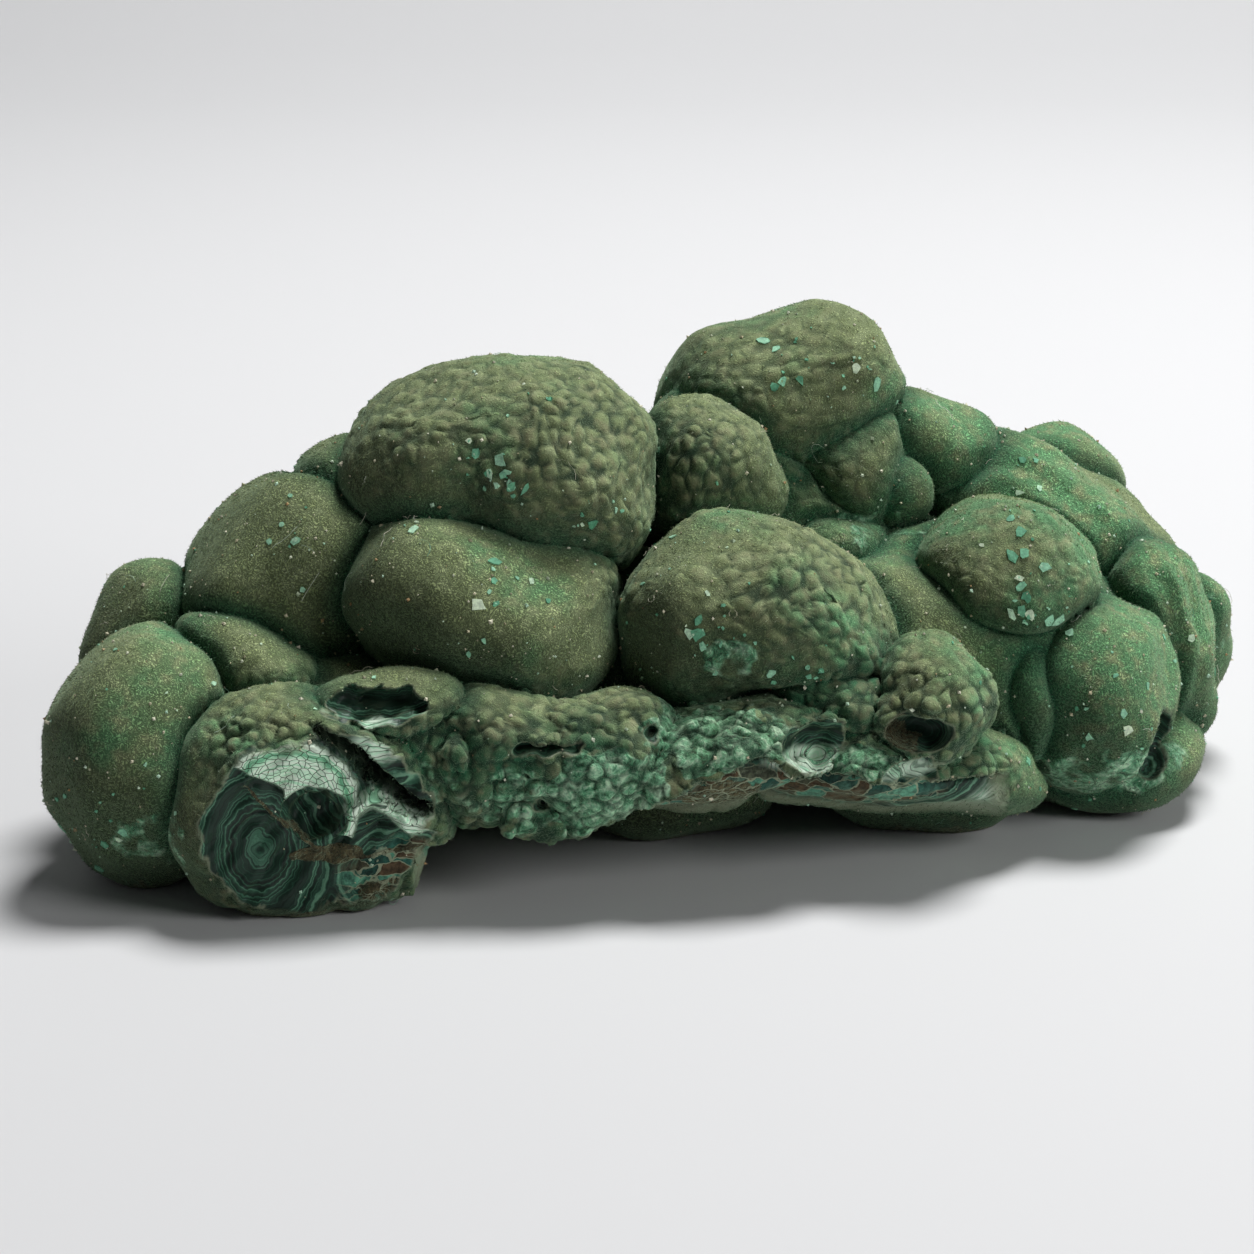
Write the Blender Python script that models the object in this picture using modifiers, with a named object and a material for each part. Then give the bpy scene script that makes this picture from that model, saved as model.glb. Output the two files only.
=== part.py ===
"""Malachite specimen: one botryoidal mass, broken open along its front edge.

The stone grew as round bubbles that swelled into each other. Every bubble is a
sphere stretched to its own radii, all of them are fused, the broken front and the
hollows are cut away, and the skin is then settled onto the smooth growth surface.
"""
import math

import bmesh
import bpy
import numpy as np
from mathutils import Matrix, Vector

MM = 0.001

# Driving dimensions, in metres
CREASE = 1.2 * MM           # how far two neighbouring bubbles round their shared crease
MELD = 5.0 * MM             # how far the swellings of one bubble run together
BREAK_EDGE = 0.6 * MM       # rounding where a broken face meets the skin
SWAY = 0.8 * MM             # how far a bubble's skin wanders from a true ellipsoid
KNOB_SIZE = 6.0 * MM        # spacing of the knobs along the broken ledge
KNOB_HEIGHT = 0.9 * MM      # how far a ledge knob stands up
BREAK_ROUGHNESS = 0.8 * MM  # unevenness of the broken faces
FLOOR_BOX = (0.3, 0.3, 0.02)
VOXEL = 0.9 * MM            # grid of the fusing remesh
TRIANGLES = 9400            # target for the finished skin
FAR = 6.0 * MM              # distances past this are not followed
FOOTPRINT_MIDDLE = (4.72 * MM, 0.37 * MM)  # moved to the origin

# Bubbles: swellings as centre (x right, y back, z up), radii, lean about Y and turn
# about Z, in millimetres and degrees
BUBBLES = {
    "shoulder_low": [((-57.5, -26, 15.0), (12, 14, 16), 6, 0)],
    "shoulder_back": [((-57.2, -8, 23.2), (9.8, 10, 10.9), 0, 0)],
    "shoulder_high": [
        ((-42, -8, 32), (15.2, 14, 11.6), -42, 0),
        ((-36, -9, 29), (10, 12, 12), 0, 0),
    ],
    "shoulder_bud": [((-45.5, -20, 23.5), (10, 8.5, 7.5), 18, 0)],
    "shoulder_rear": [((-33.5, -3, 39.2), (10, 10, 9.8), -40, 0)],
    "crown": [
        ((-24.5, -6, 44.5), (11.2, 14, 11.8), 0, 0),
        ((-15, -5, 46), (12, 14, 12), 0, 0),
        ((-9, -4, 43), (13.3, 16, 14.4), 0, 0),
    ],
    "crown_cheek": [
        ((-23.5, -16, 32.5), (11.2, 13, 11.2), 20, 0),
        ((-15, -18, 29.5), (13.2, 13, 10.5), 25, 0),
        ((-8, -14, 29), (8, 10, 10), 0, 0),
    ],
    "middle_back": [
        ((8.5, 2, 43), (8.6, 10, 9.5), 0, 0),
        ((11, 3, 38), (8.5, 10, 9), 0, 0),
    ],
    "middle": [
        ((8, -16, 27.5), (9.5, 12, 12), 0, 0),
        ((15, -14, 31), (11.5, 13, 10), 0, 0),
        ((22.5, -14, 27), (12, 13, 9), 40, 0),
    ],
    "middle_low": [((24.5, -20, 19.5), (9, 9, 7), 0, 0)],
    "knob": [((35.6, -23, 20.4), (7.3, 8.5, 8.8), 0, 0)],
    "valley": [((27.4, 4, 31.8), (8, 8, 5), 15, 0)],
    "summit": [
        ((14.8, 17, 46.2), (11.8, 13, 12), 0, 0),
        ((24.2, 18, 48.5), (11, 13, 12), 5, 0),
    ],
    "summit_left": [((10.5, 12, 44.5), (8.5, 9, 8), 0, 0)],
    "summit_finger": [((18.5, 9, 40), (5, 6, 11), -36, 0)],
    "summit_front": [((28, 12, 40), (9, 9, 9.5), 0, 0)],
    "summit_foot": [((33.5, 10, 37.4), (5.5, 6, 6), 0, 0)],
    "saddle": [((38.2, 18, 41.6), (12.8, 9, 7), 25, 0)],
    "ridge": [
        ((54.5, 20, 28.5), (21.8, 15, 10.8), 35, 0),
        ((60, 18, 24), (12, 12, 10), 50, 0),
    ],
    "ridge_back": [((57, 32, 33.4), (8.8, 9, 7.6), 20, 0)],
    "brow": [((47.2, -1, 30), (12, 13, 9.6), 5, 0)],
    "cheek": [((57, -4, 15.5), (11.5, 14, 13.5), 0, 0)],
    "cheek_left": [((49.6, -9, 17), (5.8, 8, 9), -10, 0)],
    "flank": [((67, 10, 18.2), (8.6, 12, 14.2), -10, 0)],
    "heel": [((74, 20, 15), (4.8, 8, 9), 0, 0)],
    "sole_right": [((60, 0, 6.8), (13, 12, 7.5), 0, 0)],
    "ledge_left": [
        ((-42, -34, 12), (13, 12, 13), -20, 0),
        ((-33, -33, 12), (13, 12, 13), 20, 0),
    ],
    "ledge_middle": [
        ((-21, -31, 17), (10, 8.6, 8), 0, 0),
        ((-10, -31, 15.5), (11, 8.6, 8), 15, 0),
        ((-1, -29, 16), (9, 8.4, 7.5), 0, 0),
    ],
    "ledge_roof": [((-28, -33, 23.8), (9.5, 6.5, 3.9), 0, 0)],
    "lump_low": [((-24.5, -37.8, 15.2), (2.7, 2.7, 2.7), 0, 0)],
    "lump_high": [((-19.6, -37.4, 19.2), (2.4, 2.6, 2.9), 0, 0)],
    "lump_ridge": [((-24.4, -36.4, 20.6), (1.7, 2.6, 3.2), 15, 0)],
    "mound_left": [((-13.9, -36.4, 16.4), (3.8, 3.8, 3.7), 0, 0)],
    "mound_right": [((-4.2, -33.6, 16.8), (5.2, 5.4, 4.4), 0, 0)],
    "mound_low": [
        ((-13.2, -36.6, 11.2), (2.3, 2.4, 2.2), 0, 0),
        ((-9.8, -36.4, 10.8), (2.1, 2.4, 2.1), 0, 0),
    ],
    "ledge_right": [
        ((5, -28, 14.5), (11, 10, 6), -10, 0),
        ((15, -27, 16), (12, 10, 6), -10, 0),
    ],
    "ledge_end": [
        ((27, -24, 13), (13, 9, 6), 0, 0),
        ((38, -19, 11), (10, 8, 5), 0, 10),
        ((43.5, -17.5, 9), (7.5, 6.5, 3.6), 8, 10),
    ],
    "plum": [((22.6, -29.5, 19.4), (3.4, 3.4, 2.2), 0, 0)],
    "foot_middle": [((5, -9, 5.5), (13, 10, 7), 0, 0)],
    "foot_right": [((36, -7, 5.5), (13, 10, 7), 0, 0)],
    "core_left": [((-40, -12, 13.5), (21, 19, 14.5), 0, 0)],
    "core_middle": [((-10, -1, 17), (40, 20, 18.5), 0, 0)],
    "core_right": [((35, 6, 17), (33, 24, 18), 0, 0)],
    "core_top": [((8, 12, 30), (30, 14, 16), 0, 0)],
    "back_left": [((-48, 6, 14), (16, 14, 15), 0, 0)],
    "back_shoulder": [((-34, 12, 26), (15, 14, 14), 20, 0)],
    "back_crown": [((-14, 12, 34), (15, 14, 15), 0, 0)],
    "back_low_left": [((-26, 20, 12), (17, 14, 13.5), 0, 0)],
    "back_middle": [((2, 24, 26), (14, 14, 17), 0, 0)],
    "back_low": [((-2, 30, 10), (16, 12, 11.5), 0, 10)],
    "back_summit": [((20, 30, 36), (14, 12, 15), 0, 0)],
    "back_foot": [((24, 34, 13), (15, 11, 14.5), 0, 0)],
    "back_ridge": [((42, 32, 24), (14, 12, 15), 0, 0)],
    "back_right": [((58, 30, 14), (13, 13, 14.5), 0, 0)],
}

# Broken away: the face and the hollows of the ledge and the open space below it
BREAKS = {
    "ledge_face": ((-26, -140, 12), (80, 100, 80), 0, 0),
    "ledge_hollow": ((-29, -38.5, 25), (6.2, 5.5, 1.9), 0, 0),
    "arch_pocket": ((-36.2, -42, 12.9), (3.8, 4.5, 3.3), 0, 0),
    "middle_pocket": ((23, -34, 18.6), (5, 5, 2.8), 0, 0),
    "knob_pocket": ((34.5, -34, 14), (4.6, 5, 3.0), 0, 0),
    "undercut": ((20, -43, -6), (47, 24, 15.5), 0, 10),
}


def lobe_matrix(centre, radii, lean, turn):
    """Place a unit sphere as one swelling."""
    place = Matrix.Translation(Vector(centre) * MM)
    tilt = Matrix.Rotation(math.radians(turn), 4, "Z") @ Matrix.Rotation(math.radians(lean), 4, "Y")
    return place @ tilt @ Matrix.Diagonal((*(Vector(radii) * MM), 1.0))


def sphere_object(name, lobes, collection):
    """One mesh object that holds a stretched sphere for each lobe."""
    shape = bmesh.new()
    for lobe in lobes:
        bmesh.ops.create_icosphere(shape, subdivisions=4, radius=1.0, matrix=lobe_matrix(*lobe))
    mesh = bpy.data.meshes.new(name)
    shape.to_mesh(mesh)
    shape.free()
    thing = bpy.data.objects.new(name, mesh)
    collection.objects.link(thing)
    return thing


def signed_distance(points, centre, radii, lean, turn):
    """Distance from points to the skin of a stretched sphere, negative inside it."""
    spin = lobe_matrix(centre, (1 / MM, 1 / MM, 1 / MM), lean, turn)
    turned = (points - np.array(spin.translation)) @ np.array(spin.to_3x3())
    size = np.array(radii) * MM
    level = np.linalg.norm(turned / size, axis=1)
    slope = np.linalg.norm(turned / size ** 2, axis=1) + 1e-9
    return level * (level - 1) / slope


def blend(first, second, width):
    """The nearer of two surfaces, rounded where they meet."""
    near = np.clip(width - np.abs(first - second), 0, None) / width
    return np.minimum(first, second) - near ** 2 * width / 4


def swayed(points):
    """Shift the space a little in slow waves, so that no bubble is a true ellipsoid."""
    x, y, z = points.T / MM
    shift = np.stack([
        0.6 * np.sin(0.31 * y + 0.23 * z + 1) + 0.4 * np.sin(0.57 * z - 0.37 * x + 2),
        0.6 * np.sin(0.29 * z + 0.21 * x + 3) + 0.4 * np.sin(0.53 * x - 0.41 * y + 0.5),
        0.6 * np.sin(0.27 * x + 0.25 * y + 5) + 0.4 * np.sin(0.61 * y - 0.33 * z + 1.5),
    ], axis=1)
    return points + SWAY * shift


def cell_distance(points, size):
    """Distance to the nearest of many scattered centres, one in each cube of a grid."""
    scatter = np.array([[12.99, 78.23, 37.72], [63.73, 10.87, 54.39], [26.65, 45.16, 94.67]])
    home = np.floor(points / size)
    nearest = np.full(len(points), 9.0)
    for step in np.ndindex(3, 3, 3):
        cell = home + step - 1
        centre = cell + 0.5 + 0.4 * np.sin(cell @ scatter)
        nearest = np.minimum(nearest, np.linalg.norm(points / size - centre, axis=1))
    return nearest * size


def ledge_share(points):
    """1 on the low front ledge, falling to 0 up the bubbles behind it."""
    x, y, z = points.T / MM
    front = np.clip((-22 - 0.12 * (x + 20) - y + 0.25 * x.clip(0)) / 5, 0, 1)
    low = np.clip((28 - z) / 5, 0, 1)
    right = np.clip((50 - x) / 6, 0, 1)
    left = np.clip((x + 52) / 6, 0, 1)
    return front * low * right * left


def stone_distance(points):
    """Distance from points to the skin of the whole stone, negative inside it."""
    soft = swayed(points)
    total = np.full(len(points), FAR)
    for swellings in BUBBLES.values():
        bubble = np.full(len(points), FAR)
        for lobe in swellings:
            reach = max(lobe[1]) * MM + FAR
            close = np.linalg.norm(soft - np.array(lobe[0]) * MM, axis=1) < reach
            skin = np.minimum(signed_distance(soft[close], *lobe), FAR)
            bubble[close] = blend(bubble[close], skin, MELD)
        total = blend(total, bubble, CREASE)
    knobs = (1 - (cell_distance(points, KNOB_SIZE) / (0.62 * KNOB_SIZE)) ** 2).clip(0)
    total = total - KNOB_HEIGHT * knobs * ledge_share(points)
    waves = points / MM @ np.array([[0.9, -0.5, 0.4], [0.3, 0.8, -0.9], [-0.7, 0.5, 0.8]])
    uneven = BREAK_ROUGHNESS * (np.sin(waves).prod(axis=1) + 0.4 * np.sin(2.1 * waves[:, 0]))
    for hollow in BREAKS.values():
        total = -blend(-total, signed_distance(points, *hollow) + uneven, BREAK_EDGE)
    return total


def settle(mesh):
    """Move every point of a mesh onto the stone's skin."""
    points = np.empty(len(mesh.vertices) * 3)
    mesh.vertices.foreach_get("co", points)
    points = points.reshape(-1, 3)
    probe = 0.1 * MM
    for _ in range(5):
        here = stone_distance(points)
        slope = np.stack([(stone_distance(points + step) - here) / probe for step in np.eye(3) * probe], axis=1)
        steep = (slope ** 2).sum(axis=1).clip(0.25)
        move = np.clip(here / steep, -VOXEL, VOXEL)
        points = points - 0.8 * move[:, None] * slope
    mesh.vertices.foreach_set("co", points.ravel())
    mesh.update()


def fused_mesh(stone, cutters):
    """Fuse the swellings, cut the breaks away and fuse the skin again."""
    for name in ("fuse", "refuse"):
        remesh = stone.modifiers.new(name, "REMESH")
        remesh.mode = "VOXEL"
        remesh.voxel_size = VOXEL
        if name == "fuse":
            cut = stone.modifiers.new("break_away", "BOOLEAN")
            cut.operation = "DIFFERENCE"
            cut.operand_type = "COLLECTION"
            cut.collection = cutters
    depsgraph = bpy.context.evaluated_depsgraph_get()
    mesh = bpy.data.meshes.new_from_object(stone.evaluated_get(depsgraph))
    stone.modifiers.clear()
    return mesh


def keep_outer_skin(mesh):
    """Drop the skin of any sealed bubble left inside the stone."""
    skin = bmesh.new()
    skin.from_mesh(mesh)
    pending = set(skin.verts)
    islands = []
    while pending:
        front = [pending.pop()]
        island = list(front)
        while front:
            vertex = front.pop()
            for edge in vertex.link_edges:
                other = edge.other_vert(vertex)
                if other in pending:
                    pending.remove(other)
                    front.append(other)
                    island.append(other)
        islands.append(island)
    islands.sort(key=len)
    for island in islands[:-1]:
        bmesh.ops.delete(skin, geom=island, context="VERTS")
    skin.to_mesh(mesh)
    skin.free()
    return len(islands)


def add_floor_cut(stone, cutters):
    """Cut the feet off flat where the stone stands."""
    bpy.ops.mesh.primitive_cube_add(size=1, location=(0, 0, -FLOOR_BOX[2] / 2))
    floor = bpy.context.object
    floor.name = "floor_cut"
    floor.scale = FLOOR_BOX
    for home in list(floor.users_collection):
        home.objects.unlink(floor)
    cutters.objects.link(floor)
    cut = stone.modifiers.new("feet", "BOOLEAN")
    cut.operation = "DIFFERENCE"
    cut.object = floor


def stone_material():
    """Dark green velvety stone."""
    material = bpy.data.materials.new("malachite")
    material.use_nodes = True
    shader = material.node_tree.nodes["Principled BSDF"]
    shader.inputs["Base Color"].default_value = (0.07, 0.12, 0.06, 1)
    shader.inputs["Roughness"].default_value = 0.85
    shader.inputs["Metallic"].default_value = 0.0
    return material


def make_specimen():
    for thing in list(bpy.data.objects):
        bpy.data.objects.remove(thing)
    specimen = bpy.data.collections.new("malachite_specimen")
    cutters = bpy.data.collections.new("cutters")
    for group in (specimen, cutters):
        bpy.context.scene.collection.children.link(group)

    stone = sphere_object("stone", [lobe for bubble in BUBBLES.values() for lobe in bubble], specimen)
    for name, hollow in BREAKS.items():
        sphere_object(name, [hollow], cutters)
    mesh = fused_mesh(stone, cutters)
    keep_outer_skin(mesh)
    settle(mesh)
    mesh.transform(Matrix.Translation((-FOOTPRINT_MIDDLE[0], -FOOTPRINT_MIDDLE[1], 0)))
    stone.data = mesh

    thin = stone.modifiers.new("thin", "DECIMATE")
    thin.ratio = TRIANGLES / (2 * len(mesh.polygons))
    add_floor_cut(stone, cutters)
    for cutter in cutters.objects:
        cutter.hide_render = True
        cutter.display_type = "WIRE"
    mesh.shade_smooth()
    mesh.materials.append(stone_material())


make_specimen()
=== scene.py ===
# %% [markdown]
# # A malachite specimen
#
# Malachite like this grows as round, velvety bubbles that swell into each other.
# Collectors call the habit botryoidal, which means like a bunch of grapes. This piece
# was knocked off its rock, so a ledge along the front is broken open and shows what
# is under the dark velvet: pale and dark green growth bands, hollows and brown
# limonite. The lesson builds the stone as a field of distances, because a field can
# be rounded, cut and stepped as easily as a number, and only then turns it into a mesh.

# %% Load the solid that the looks are built around
import math

import bmesh
import bpy
import numpy as np
import openvdb
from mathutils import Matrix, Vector


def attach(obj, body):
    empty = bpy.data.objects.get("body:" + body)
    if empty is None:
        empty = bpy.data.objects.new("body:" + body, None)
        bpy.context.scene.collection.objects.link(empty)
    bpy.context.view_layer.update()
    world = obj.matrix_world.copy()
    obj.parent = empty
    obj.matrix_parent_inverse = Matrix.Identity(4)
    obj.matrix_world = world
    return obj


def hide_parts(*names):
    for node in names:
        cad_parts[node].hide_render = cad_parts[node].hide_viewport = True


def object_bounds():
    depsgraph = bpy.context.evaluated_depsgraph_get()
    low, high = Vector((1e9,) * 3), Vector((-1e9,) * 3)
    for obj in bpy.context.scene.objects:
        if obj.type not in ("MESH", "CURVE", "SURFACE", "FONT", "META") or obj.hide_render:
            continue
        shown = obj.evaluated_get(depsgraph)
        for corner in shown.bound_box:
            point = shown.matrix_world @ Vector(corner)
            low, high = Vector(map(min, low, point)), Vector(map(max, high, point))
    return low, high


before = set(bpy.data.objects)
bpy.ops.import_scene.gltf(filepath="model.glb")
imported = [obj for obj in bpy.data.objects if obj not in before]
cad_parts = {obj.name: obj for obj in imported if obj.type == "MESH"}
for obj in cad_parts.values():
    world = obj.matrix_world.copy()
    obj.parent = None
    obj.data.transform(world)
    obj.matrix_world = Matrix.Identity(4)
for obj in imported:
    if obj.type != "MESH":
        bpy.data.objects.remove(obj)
cad_low, cad_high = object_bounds()
print("solid box in mm", [round(1000 * (b - a), 1) for a, b in zip(cad_low, cad_high)])

# %% [markdown]
# ## The bubbles
#
# Each bubble is one or more stretched spheres. The table says where they are, in
# millimetres, exactly as the solid has them: centre (right, back, up), radii, lean
# about the Y axis and turn about the Z axis. The table's own zero is not under the
# middle of the stone, so `MIDDLE` moves it there.

# %% Table of the bubbles
MM = 0.001
MIDDLE = np.array([4.72, 0.37, 0.0])

BUBBLES = {
    "shoulder_low": [((-57.5, -26, 15.0), (12, 14, 16), 6, 0)],
    "shoulder_back": [((-57.2, -8, 23.2), (9.8, 10, 10.9), 0, 0)],
    "shoulder_high": [
        ((-42, -8, 32), (15.2, 14, 11.6), -42, 0),
        ((-36, -9, 29), (10, 12, 12), 0, 0),
    ],
    "shoulder_bud": [((-45.5, -20, 23.5), (10, 8.5, 7.5), 18, 0)],
    "shoulder_rear": [((-33.5, -3, 39.2), (10, 10, 9.8), -40, 0)],
    "crown": [
        ((-24.5, -6, 44.5), (11.2, 14, 11.8), 0, 0),
        ((-15, -5, 46), (12, 14, 12), 0, 0),
        ((-9, -4, 43), (13.3, 16, 14.4), 0, 0),
    ],
    "crown_cheek": [
        ((-23.5, -16, 32.5), (11.2, 13, 11.2), 20, 0),
        ((-15, -18, 29.5), (13.2, 13, 10.5), 25, 0),
        ((-8, -14, 29), (8, 10, 10), 0, 0),
    ],
    "middle_back": [
        ((8.5, 2, 43), (8.6, 10, 9.5), 0, 0),
        ((11, 3, 38), (8.5, 10, 9), 0, 0),
    ],
    "middle": [
        ((8, -16, 27.5), (9.5, 12, 12), 0, 0),
        ((15, -14, 31), (11.5, 13, 10), 0, 0),
        ((22.5, -14, 27), (12, 13, 9), 40, 0),
    ],
    "middle_low": [((24.5, -20, 19.5), (9, 9, 7), 0, 0)],
    "knob": [((35.6, -23, 20.4), (7.3, 8.5, 8.8), 0, 0)],
    "valley": [((27.4, 4, 31.8), (8, 8, 5), 15, 0)],
    "summit": [
        ((14.8, 17, 46.2), (11.8, 13, 12), 0, 0),
        ((24.2, 18, 48.5), (11, 13, 12), 5, 0),
    ],
    "summit_left": [((10.5, 12, 44.5), (8.5, 9, 8), 0, 0)],
    "summit_finger": [((18.5, 9, 40), (5, 6, 11), -36, 0)],
    "summit_front": [((28, 12, 40), (9, 9, 9.5), 0, 0)],
    "summit_foot": [((33.5, 10, 37.4), (5.5, 6, 6), 0, 0)],
    "saddle": [((38.2, 18, 41.6), (12.8, 9, 7), 25, 0)],
    "ridge": [
        ((54.5, 20, 28.5), (21.8, 15, 10.8), 35, 0),
        ((60, 18, 24), (12, 12, 10), 50, 0),
    ],
    "ridge_back": [((57, 32, 33.4), (8.8, 9, 7.6), 20, 0)],
    "brow": [((47.2, -1, 30), (12, 13, 9.6), 5, 0)],
    "cheek": [((57, -4, 15.5), (11.5, 14, 13.5), 0, 0)],
    "cheek_left": [((49.6, -9, 17), (5.8, 8, 9), -10, 0)],
    "flank": [((67, 10, 18.2), (8.6, 12, 14.2), -10, 0)],
    "heel": [((74, 20, 15), (4.8, 8, 9), 0, 0)],
    "sole_right": [((60, 0, 6.8), (13, 12, 7.5), 0, 0)],
    "ledge_left": [
        ((-42, -34, 12), (13, 12, 13), -20, 0),
        ((-33, -33, 12), (13, 12, 13), 20, 0),
    ],
    "ledge_middle": [
        ((-21, -31, 17), (10, 8.6, 8), 0, 0),
        ((-10, -31, 15.5), (11, 8.6, 8), 15, 0),
        ((-1, -29, 16), (9, 8.4, 7.5), 0, 0),
    ],
    "ledge_roof": [((-28, -33, 23.8), (9.5, 6.5, 3.9), 0, 0)],
    "lump_low": [((-24.5, -37.8, 15.2), (2.7, 2.7, 2.7), 0, 0)],
    "lump_high": [((-19.6, -37.4, 19.2), (2.4, 2.6, 2.9), 0, 0)],
    "lump_ridge": [((-24.4, -36.4, 20.6), (1.7, 2.6, 3.2), 15, 0)],
    "mound_left": [((-13.9, -36.4, 16.4), (3.8, 3.8, 3.7), 0, 0)],
    "mound_right": [((-4.2, -33.6, 16.8), (5.2, 5.4, 4.4), 0, 0)],
    "mound_low": [
        ((-13.2, -36.6, 11.2), (2.3, 2.4, 2.2), 0, 0),
        ((-9.8, -36.4, 10.8), (2.1, 2.4, 2.1), 0, 0),
    ],
    "ledge_right": [
        ((5, -28, 14.5), (11, 10, 6), -10, 0),
        ((15, -27, 16), (12, 10, 6), -10, 0),
    ],
    "ledge_end": [
        ((27, -24, 13), (13, 9, 6), 0, 0),
        ((38, -19, 11), (10, 8, 5), 0, 10),
        ((43.5, -17.5, 9), (7.5, 6.5, 3.6), 8, 10),
    ],
    "plum": [((22.6, -29.5, 19.4), (3.4, 3.4, 2.2), 0, 0)],
    "foot_middle": [((5, -9, 5.5), (13, 10, 7), 0, 0)],
    "foot_right": [((36, -7, 5.5), (13, 10, 7), 0, 0)],
    "core_left": [((-40, -12, 13.5), (21, 19, 14.5), 0, 0)],
    "core_middle": [((-10, -1, 17), (40, 20, 18.5), 0, 0)],
    "core_right": [((35, 6, 17), (33, 24, 18), 0, 0)],
    "core_top": [((8, 12, 30), (30, 14, 16), 0, 0)],
    "back_left": [((-48, 6, 14), (16, 14, 15), 0, 0)],
    "back_shoulder": [((-34, 12, 26), (15, 14, 14), 20, 0)],
    "back_crown": [((-14, 12, 34), (15, 14, 15), 0, 0)],
    "back_low_left": [((-26, 20, 12), (17, 14, 13.5), 0, 0)],
    "back_middle": [((2, 24, 26), (14, 14, 17), 0, 0)],
    "back_low": [((-2, 30, 10), (16, 12, 11.5), 0, 10)],
    "back_summit": [((20, 30, 36), (14, 12, 15), 0, 0)],
    "back_foot": [((24, 34, 13), (15, 11, 14.5), 0, 0)],
    "back_ridge": [((42, 32, 24), (14, 12, 15), 0, 0)],
    "back_right": [((58, 30, 14), (13, 13, 14.5), 0, 0)],
}
print("bubbles", len(BUBBLES), "swellings", sum(len(b) for b in BUBBLES.values()))

# %% [markdown]
# ## The growth field
#
# For any point, `growth` answers how far it is from the skin of the grown stone. The
# swellings of one bubble run together over 5 mm, so they read as one round form. Two
# different bubbles keep a crisp crease, rounded over only 1.2 mm. The gap between the
# nearest and the second nearest bubble is kept too: it is small in a crease, and the
# colours use it later to make the creases greener, and darker as painted shade.

# %% Distance to the grown skin
CREASE = 1.2
MELD = 5.0
SWAY = 0.8
FAR = 6.0


def spin_matrix(lean, turn):
    a, b = math.radians(lean), math.radians(turn)
    about_y = np.array([[math.cos(a), 0, math.sin(a)], [0, 1, 0], [-math.sin(a), 0, math.cos(a)]])
    about_z = np.array([[math.cos(b), -math.sin(b), 0], [math.sin(b), math.cos(b), 0], [0, 0, 1]])
    return about_z @ about_y


def ball_distance(points, centre, radii, lean=0, turn=0):
    turned = (points - np.array(centre)) @ spin_matrix(lean, turn)
    size = np.array(radii)
    level = np.linalg.norm(turned / size, axis=1)
    slope = np.linalg.norm(turned / size ** 2, axis=1) + 1e-6
    return level * (level - 1) / slope


def blend(first, second, width):
    near = np.clip(width - np.abs(first - second), 0, None) / width
    return np.minimum(first, second) - near ** 2 * width / 4


def swayed(points):
    x, y, z = points.T
    shift = np.stack([
        0.6 * np.sin(0.31 * y + 0.23 * z + 1) + 0.4 * np.sin(0.57 * z - 0.37 * x + 2),
        0.6 * np.sin(0.29 * z + 0.21 * x + 3) + 0.4 * np.sin(0.53 * x - 0.41 * y + 0.5),
        0.6 * np.sin(0.27 * x + 0.25 * y + 5) + 0.4 * np.sin(0.61 * y - 0.33 * z + 1.5),
    ], axis=1)
    return points + SWAY * shift


def growth(points):
    """Signed distance to the grown skin, and the gap between the two nearest bubbles."""
    soft = swayed(points)
    total = np.full(len(points), FAR)
    nearest = np.full(len(points), FAR)
    second = np.full(len(points), FAR)
    for swellings in BUBBLES.values():
        bubble = np.full(len(points), FAR)
        for lobe in swellings:
            reach = max(lobe[1]) + FAR
            close = np.abs(soft - np.array(lobe[0])).max(axis=1) < reach
            skin = np.minimum(ball_distance(soft[close], *lobe), FAR)
            bubble[close] = blend(bubble[close], skin, MELD)
        total = blend(total, bubble, CREASE)
        second = np.minimum(second, np.maximum(nearest, bubble))
        nearest = np.minimum(nearest, bubble)
    return total, second - nearest


# %% [markdown]
# ## Two kinds of irregularity
#
# `ripple` is a slow, smooth wobble made of a few crossing waves. `cobbles` scatters
# one centre in every cube of a grid and measures the nearest and second nearest of
# them. Their difference is zero on the borders between cells, which is how nodules
# that crowd each other meet, so it makes cobbled skin and also the walls of the
# cellular crust.

# %% Helpers for wobble and cells
def ripple(points, wavelength, seed=0.0):
    q = points * (2 * math.pi / wavelength)
    x, y, z = q.T
    return (
        np.sin(0.8 * x + 0.5 * y - 0.3 * z + 1.3 * seed)
        + np.sin(-0.4 * x + 0.9 * y + 0.4 * z + 2.1 * seed)
        + np.sin(0.3 * x - 0.5 * y + 0.9 * z + 0.7 * seed)
        + 0.6 * np.sin(1.7 * x - 1.1 * y + 1.3 * z + 3.7 * seed)
        + 0.6 * np.sin(-1.2 * x + 1.5 * y + 1.6 * z + 0.3 * seed)
    ) / 4.2


def cobbles(points, size, seed=0.0):
    """Distances to the nearest and second nearest scattered centre, in cells."""
    scatter = np.array([[12.99, 78.23, 37.72], [63.73, 10.87, 54.39], [26.65, 45.16, 94.67]])
    place = points / size + seed
    home = np.floor(place)
    nearest = np.full(len(points), 9.0)
    second = np.full(len(points), 9.0)
    for step in np.ndindex(3, 3, 3):
        cell = home + step - 1
        centre = cell + 0.5 + 0.4 * np.sin(cell @ scatter)
        gap = np.linalg.norm(place - centre, axis=1)
        second = np.minimum(second, np.maximum(nearest, gap))
        nearest = np.minimum(nearest, gap)
    return nearest, second


def patch(points, centre, radii, soft=0.35, ragged=0.25, seed=0.0):
    """1 inside a stretched sphere, 0 outside, with a wandering border."""
    level = np.linalg.norm((points - np.array(centre)) / np.array(radii), axis=1)
    return np.clip((1 - level + ragged * ripple(points, 5.0, seed)) / soft, 0, 1)


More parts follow.
